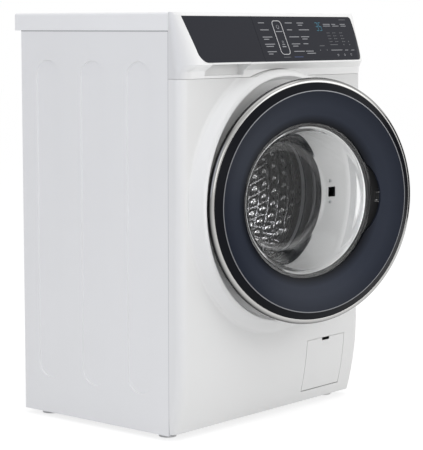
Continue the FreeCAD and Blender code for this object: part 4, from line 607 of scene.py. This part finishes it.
def chrome_rim():
    """The door's rim: a short side, then a round turn on to its face."""
    middle, radius = (242.46, 264.01), 10.0
    turn_start, turn_sweep, turn_steps = 17.4, 75.2, 12
    profile = [(249.6, 265.8), (249.6, 263.1), (249.9, 262.8), (251.7, 262.8), (252.0, 263.1),
               (252.0, 266.6)]
    for share in range(turn_steps + 1):
        angle = math.radians(turn_start + turn_sweep * share / turn_steps)
        profile.append((middle[0] + radius * math.cos(angle), middle[1] + radius * math.sin(angle)))
    profile += [(242.0, 271.6), (245.5, 270.6), (248.4, 268.0), (249.6, 265.8)]
    rim = piece("chrome_rim", lathe(profile), "door", rim_chrome)
    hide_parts("door_trim")


def latch_surround():
    """A black plate round the latch hook, which closes the gate it swings in."""
    across, level = 183.0, DRUM_HEIGHT / MM
    work = bmesh.new()
    rings = []
    for half_wide, half_high, front in ((11.8, 10.8, 244.2), (11.8, 10.8, 247.0), (6.6, 9.4, 247.0),
                                        (5.8, 8.6, 246.2), (5.8, 8.6, 244.2)):
        rings.append([work.verts.new(hung(across + u * half_wide, -front, level + v * half_high))
                      for u, v in ((-1, -1), (1, -1), (1, 1), (-1, 1))])
    bridge(work, rings + rings[:1])
    piece("latch_surround", work, "door", black_plastic, smooth=False)


def hatch_lip():
    """The pale lip in and behind the gap round the service hatch, clear of its finger slot."""
    face = nodes["service_hatch"]
    left, right, top = 110.0, 242.0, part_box("service_hatch")[1].z / MM
    gap, clear = 1.6, 0.3
    behind, sunk, thick = 1.7, 0.75, 1
    lap, foot = 2.2, 52.0
    below_top = 0.5
    slot_half, slot_clear = 14, 0.3
    probe = left + 4
    steps = 12
    work = bmesh.new()

    def skin(z):
        """How far forward the hatch's curved face is at this height."""
        _, place, _, _ = face.ray_cast(Vector((probe * MM, -1, z * MM)), Vector((0, 1, 0)))
        return place.y / MM

    def ribbon(pairs):
        """A strip through these pairs of (x, y, z) points."""
        rows = []
        for first, second in pairs:
            loop = (first, second, (second[0], second[1] + thick, second[2]),
                    (first[0], first[1] + thick, first[2]))
            rows.append([work.verts.new(Vector(place) * MM) for place in loop])
        tube(work, rows)

    def upright(near, far, depth):
        ribbon([((near, skin(z) + depth, z), (far, skin(z) + depth, z)) for z in levels])

    levels = [foot + (top - below_top - foot) * k / steps for k in range(steps + 1)]
    upright(left + lap, left - gap - lap, behind)
    upright(right - lap, right + gap + lap, behind)
    upright(left - clear, left - gap + clear, sunk)
    upright(right + clear, right + gap - clear, sunk)
    ledge = skin(top - below_top) + behind
    slot_left, slot_right = (left + right) / 2 - slot_half, (left + right) / 2 + slot_half
    for first, last, low in ((left - gap - lap, slot_left, top - lap),
                             (slot_left, slot_right, top + slot_clear),
                             (slot_right, right + gap + lap, top - lap)):
        ribbon([((x, ledge, low), (x, ledge, top + gap + lap)) for x in (first, last)])
    piece("hatch_lip", work, "cabinet", white_plastic, smooth=False)


perforated_wall()
pressed_back()
hatch_lip()
glass_bowl()
chrome_rim()
latch_surround()


# Printed marks on the dark window: plain bars, rings and dots, placed in mm.

PRINT_PROUD = 0.12 * MM

window_down = (WINDOW_FOOT - WINDOW_TOP).normalized()
window_out = Vector((0, window_down.z, -window_down.y))
if window_out.y > 0:
    window_out.negate()


def on_window(x, z):
    """The point of the leaning window at this width and height."""
    drop = (WINDOW_TOP.z - z * MM) / (WINDOW_TOP.z - WINDOW_FOOT.z)
    return WINDOW_TOP.lerp(WINDOW_FOOT, drop) + Vector((x * MM, 0, 0))


def plate(work, outline):
    """A thin plate on the window with this outline of (x, z) points."""
    lower = [work.verts.new(on_window(x, z)) for x, z in outline]
    upper = [work.verts.new(on_window(x, z) + window_out * PRINT_PROUD) for x, z in outline]
    work.faces.new(upper)
    bridge(work, [lower, upper])


def bar(work, left, right, z, high=1.35):
    """A bar with round ends."""
    half = high / 2
    points = []
    for centre, start in ((right - half, -90), (left + half, 90)):
        for turn in range(0, 181, 45):
            angle = math.radians(start + turn)
            points.append((centre + half * math.cos(angle), z + half * math.sin(angle)))
    plate(work, points)


def ring_mark(work, x, z, radius, line, start=0, sweep=360):
    """A thin printed ring, or an arc of one."""
    steps = 24
    within = radius - line
    for k in range(steps):
        first = math.radians(start + sweep * k / steps)
        second = math.radians(start + sweep * (k + 1) / steps)
        corners = ((radius, first), (radius, second), (within, second), (within, first))
        plate(work, [(x + reach * math.sin(angle), z + reach * math.cos(angle))
                     for reach, angle in corners])


def disc_mark(work, x, z, radius):
    steps = 12
    plate(work, [(x + radius * math.cos(FULL_TURN * k / steps),
                  z + radius * math.sin(FULL_TURN * k / steps)) for k in range(steps)])


SEGMENTS = {"3": "abcdg", "5": "acdfg"}


def digit(work, sign, x, z):
    """A seven-bar number of the display."""
    wide, high, line, gap = 8, 18, 1.6, 0.25
    half = high / 2
    sides = {
        "a": ((0, high - line), (wide, high)),
        "g": ((0, half - line / 2), (wide, half + line / 2)),
        "d": ((0, 0), (wide, line)),
        "f": ((0, half), (line, high)),
        "b": ((wide - line, half), (wide, high)),
        "c": ((wide - line, 0), (wide, half)),
    }
    for segment in SEGMENTS[sign]:
        (left, low), (right, top) = sides[segment]
        plate(work, [(x + left + gap, z + low + gap), (x + right - gap, z + low + gap),
                     (x + right - gap, z + top - gap), (x + left + gap, z + top - gap)])


def print_finish(name, colour, rough=0.5, grain=1500, **sockets):
    return plain(name, colour, rough, grain=grain, depth=0.00001, **sockets)


TEAL = (0.025, 0.17, 0.25)

print_white = print_finish("pale_print", (0.33, 0.335, 0.355))
print_faint = print_finish("faint_print", (0.14, 0.143, 0.155))
print_blue = print_finish("blue_print", (0.035, 0.055, 0.14))
display_teal = print_finish("teal_digits", TEAL, rough=0.45, grain=1200,
                            Emission_Color=(*TEAL, 1), Emission_Strength=0.06)


def panel_labels():
    # Three columns of bars, each with the lengths of its first and second lines.
    rows = (829.6, 815.3, 800.8, 786.3, 771.0)
    second_line, indent = 4.5, 2
    columns = {
        -48: ((20, 0), (28, 0), (32, 17), (33, 25), (30, 15)),
        41: ((24, 0), (17, 0), (33, 0), (29, 18), (36, 0)),
        81: ((23, 15), (36, 0), (28, 18), (17, 0), (27, 30)),
    }
    work = bmesh.new()
    for left, lengths in columns.items():
        for z, (long, short) in zip(rows, lengths):
            bar(work, left, left + long, z)
            if short:
                bar(work, left + indent, left + indent + short, z - second_line)

    # Inside the outlined keys.
    for left, right, z, high in ((1, 24, 811.9, 1.4), (7, 20, 781.0, 1.8), (9, 18, 785.5, 1.2)):
        bar(work, left, right, z, high)
    ring_mark(work, 12.5, 821.5, 4.3, 0.9, start=35, sweep=290)
    bar(work, 12.0, 13.0, 825.0, 1.0)
    ring_mark(work, 13.5, 790.5, 2.6, 0.7)

    # Round the display.
    for left, right, z in ((172, 197, 827), (171, 196, 823.3), (203, 217, 827), (204, 227, 823.3),
                           (233, 252, 827), (234, 253, 823.3), (171, 211, 772.3),
                           (221, 232, 772), (243, 255, 771.8)):
        bar(work, left, right, z, 1.1)
    for x, z in ((190.5, 761.8), (214.2, 762.1), (238, 762.4)):
        ring_mark(work, x, z, 2.4, 0.7, start=-120, sweep=240)
        bar(work, x - 2, x + 2, z - 1.8, 0.8)
    piece("panel_labels", work, "cabinet", print_white, smooth=False)


def panel_small_marks():
    work = bmesh.new()
    for x in (177, 197.5, 222.5):
        for z in (808.7, 802.5, 796.4, 790.2):
            disc_mark(work, x, z, 1.1)
            bar(work, x + 3, x + 9, z, 0.9)
    for x, z in ((244.3, 790), (223.3, 783.7), (244.4, 783.5), (133, 772.7), (156.7, 772.6)):
        disc_mark(work, x, z, 1.3)
    for left, right, z in ((174.5, 201.5, 783.7), (135.2, 152.7, 781.7), (234, 258, 836.7),
                           (0, 23.5, 759.5)):
        bar(work, left, right, z, 1.0)
    piece("panel_small_marks", work, "cabinet", print_faint, smooth=False)


def panel_blue_mark():
    work = bmesh.new()
    bar(work, 36, 66, 759.5, 1.5)
    piece("panel_blue_mark", work, "cabinet", print_blue, smooth=False)


def panel_digits():
    work = bmesh.new()
    digit(work, "3", 144, 813)
    digit(work, "5", 155, 813)
    piece("panel_digits", work, "cabinet", display_teal, smooth=False)


def lock_screws():
    """The lock's two fixing screws, cross-slotted pan heads on the door's white seat."""
    across, seat, heights = 179 * MM, -242.4 * MM, (492.5 * MM, 446.5 * MM)
    slot_edge = (1.0, 2.0)
    profile = [(4.0, 0.0), (4.0, 0.7), (3.2, 1.5), (1.6, 2.0), slot_edge, (0.9, 1.1), (0.0, 1.1)]
    steps = 20
    work = bmesh.new()
    for height in heights:
        centre = Vector((across, seat, height))
        rows = []
        for reach, rise in profile:
            row = []
            for k in range(steps):
                angle = FULL_TURN * k / steps
                cross = 0.7 * abs(math.cos(2 * angle)) ** 3 if (reach, rise) == slot_edge else 0
                arm = reach * (1 + cross) * MM
                row.append(work.verts.new(centre + Vector((
                    arm * math.cos(angle), -rise * MM, arm * math.sin(angle)))))
            rows.append(row)
        bridge(work, rows)
    bmesh.ops.remove_doubles(work, verts=work.verts, dist=0.01 * MM)
    piece("lock_screws", work, "cabinet", zinc)


panel_labels()
panel_small_marks()
panel_blue_mark()
panel_digits()
lock_screws()


# Floor, light and camera


def seen_share(tree):
    """One for what the camera, a mirror or a pane of glass looks at, and zero for stray light."""
    path = tree.nodes.new("ShaderNodeLightPath")
    total = path.outputs["Is Camera Ray"]
    for name in ("Is Glossy Ray", "Is Transmission Ray"):
        join = tree.nodes.new("ShaderNodeMath")
        join.operation = "MAXIMUM"
        tree.links.new(total, join.inputs[0])
        tree.links.new(path.outputs[name], join.inputs[1])
        total = join.outputs[0]
    return total


def floor():
    """A pale floor that looks white and still takes a soft shadow."""
    work = bmesh.new()
    bmesh.ops.create_grid(work, x_segments=28, y_segments=28, size=14.0)
    sheet = bpy.data.objects.new("studio_floor", mesh_of("studio_floor", work))
    scene.collection.objects.link(sheet)
    finish = Finish("pale_floor")
    finish.colour(finish.ramp(finish.noise(3.0), (0.80, 0.80, 0.80), (0.82, 0.82, 0.82)))
    finish.gloss(finish.spread(finish.noise(20.0), 0.8, 0.9))
    glow = finish.add("ShaderNodeEmission")
    glow.inputs["Strength"].default_value = 0.80
    soft = finish.add("ShaderNodeBsdfDiffuse")
    soft.inputs["Color"].default_value = (0.30, 0.30, 0.30, 1)
    both = finish.add("ShaderNodeAddShader")
    finish.link(glow.outputs[0], both.inputs[0])
    finish.link(soft.outputs[0], both.inputs[1])
    choose = finish.add("ShaderNodeMixShader")
    finish.link(seen_share(finish.tree), choose.inputs[0])
    finish.link(finish.shader.outputs[0], choose.inputs[1])
    finish.link(both.outputs[0], choose.inputs[2])
    finish.link(choose.outputs[0], finish.tree.nodes["Material Output"].inputs["Surface"])
    sheet.data.materials.append(finish.material)


def sky():
    """A white surround, at full strength where it is seen and weaker as stray light."""
    world = bpy.data.worlds.new("studio")
    scene.world = world
    world.use_nodes = True
    tree = world.node_tree
    back = tree.nodes["Background"]
    back.inputs["Color"].default_value = (1, 1, 1, 1)
    level = tree.nodes.new("ShaderNodeMapRange")
    level.inputs["To Min"].default_value = 0.66
    level.inputs["To Max"].default_value = 1.0
    tree.links.new(seen_share(tree), level.inputs["Value"])
    tree.links.new(level.outputs["Result"], back.inputs["Strength"])


def softbox(name, place, aim, wide, high, power, tint=(1, 1, 1)):
    lamp = bpy.data.lights.new(name, "AREA")
    lamp.shape = "RECTANGLE"
    lamp.size = wide
    lamp.size_y = high
    lamp.energy = power
    lamp.color = tint
    holder = bpy.data.objects.new(name, lamp)
    scene.collection.objects.link(holder)
    holder.location = place
    holder.rotation_euler = (Vector(aim) - Vector(place)).to_track_quat("-Z", "Y").to_euler()
    holder.visible_camera = False
    return holder


def dark_card(name, place, aim, wide, high):
    """A studio flag that only mirrors see, so that chrome has an edge to show."""
    work = bmesh.new()
    bmesh.ops.create_grid(work, x_segments=4, y_segments=4, size=0.5)
    card = bpy.data.objects.new(name, mesh_of(name, work))
    scene.collection.objects.link(card)
    card.scale = (wide, high, 1)
    card.location = place
    card.rotation_euler = (Vector(aim) - Vector(place)).to_track_quat("Z", "Y").to_euler()
    finish = plain(name + "_cloth", (0.012, 0.012, 0.013), 0.9, grain=400, depth=0.0004)
    card.data.materials.append(finish.material)
    card.visible_camera = False
    card.visible_diffuse = False
    card.visible_transmission = False
    card.visible_shadow = False


def camera():
    data = bpy.data.cameras.new("camera")
    data.sensor_fit = "AUTO"
    data.sensor_width = 36
    data.lens = 135.84
    data.clip_end = 50
    holder = bpy.data.objects.new("camera", data)
    scene.collection.objects.link(holder)
    holder.location = (-2.7687, -2.4095, 0.8190)
    sight = Vector((0.7572, 0.6430, -0.1152))
    holder.rotation_mode = "QUATERNION"
    holder.rotation_quaternion = sight.to_track_quat("-Z", "Y")
    scene.camera = holder


floor()
sky()
softbox("overhead_box", (-0.3, -0.6, 2.8), aim=(0, 0, 0.4), wide=2.4, high=2.0, power=20)
softbox("front_box", (0.9, -2.6, 1.2), aim=(0, -0.2, 0.5), wide=1.8, high=1.8, power=14.5)
softbox("door_box", (-1.45, -2.55, 0.95), aim=(0, -0.3, 0.47), wide=0.9, high=0.9, power=3)
softbox("left_box", (-2.6, -0.4, 1.4), aim=(-0.3, 0, 0.45), wide=1.4, high=1.8, power=10,
        tint=(0.76, 0.81, 1.0))
drum_lamp = softbox("drum_lamp", (-0.06, -0.12, 0.56), aim=(0.16, 0.145, 0.345), wide=0.06,
                    high=0.06, power=0.50)
drum_lamp.visible_transmission = False
drum_lamp.data.spread = math.radians(75)
dark_card("left_flag", (-2.6, 1.9, 0.6), aim=(-0.2, -0.3, 0.5), wide=2.4, high=2.4)
dark_card("front_flag", (0.9, -3.6, 0.2), aim=(0, -0.3, 0.5), wide=2.2, high=1.6)
dark_card("right_flag", (2.1, -1.65, 0.4), aim=(-0.2, -0.3, 0.5), wide=2.2, high=1.8)
camera()

scene.view_settings.view_transform = "Standard"
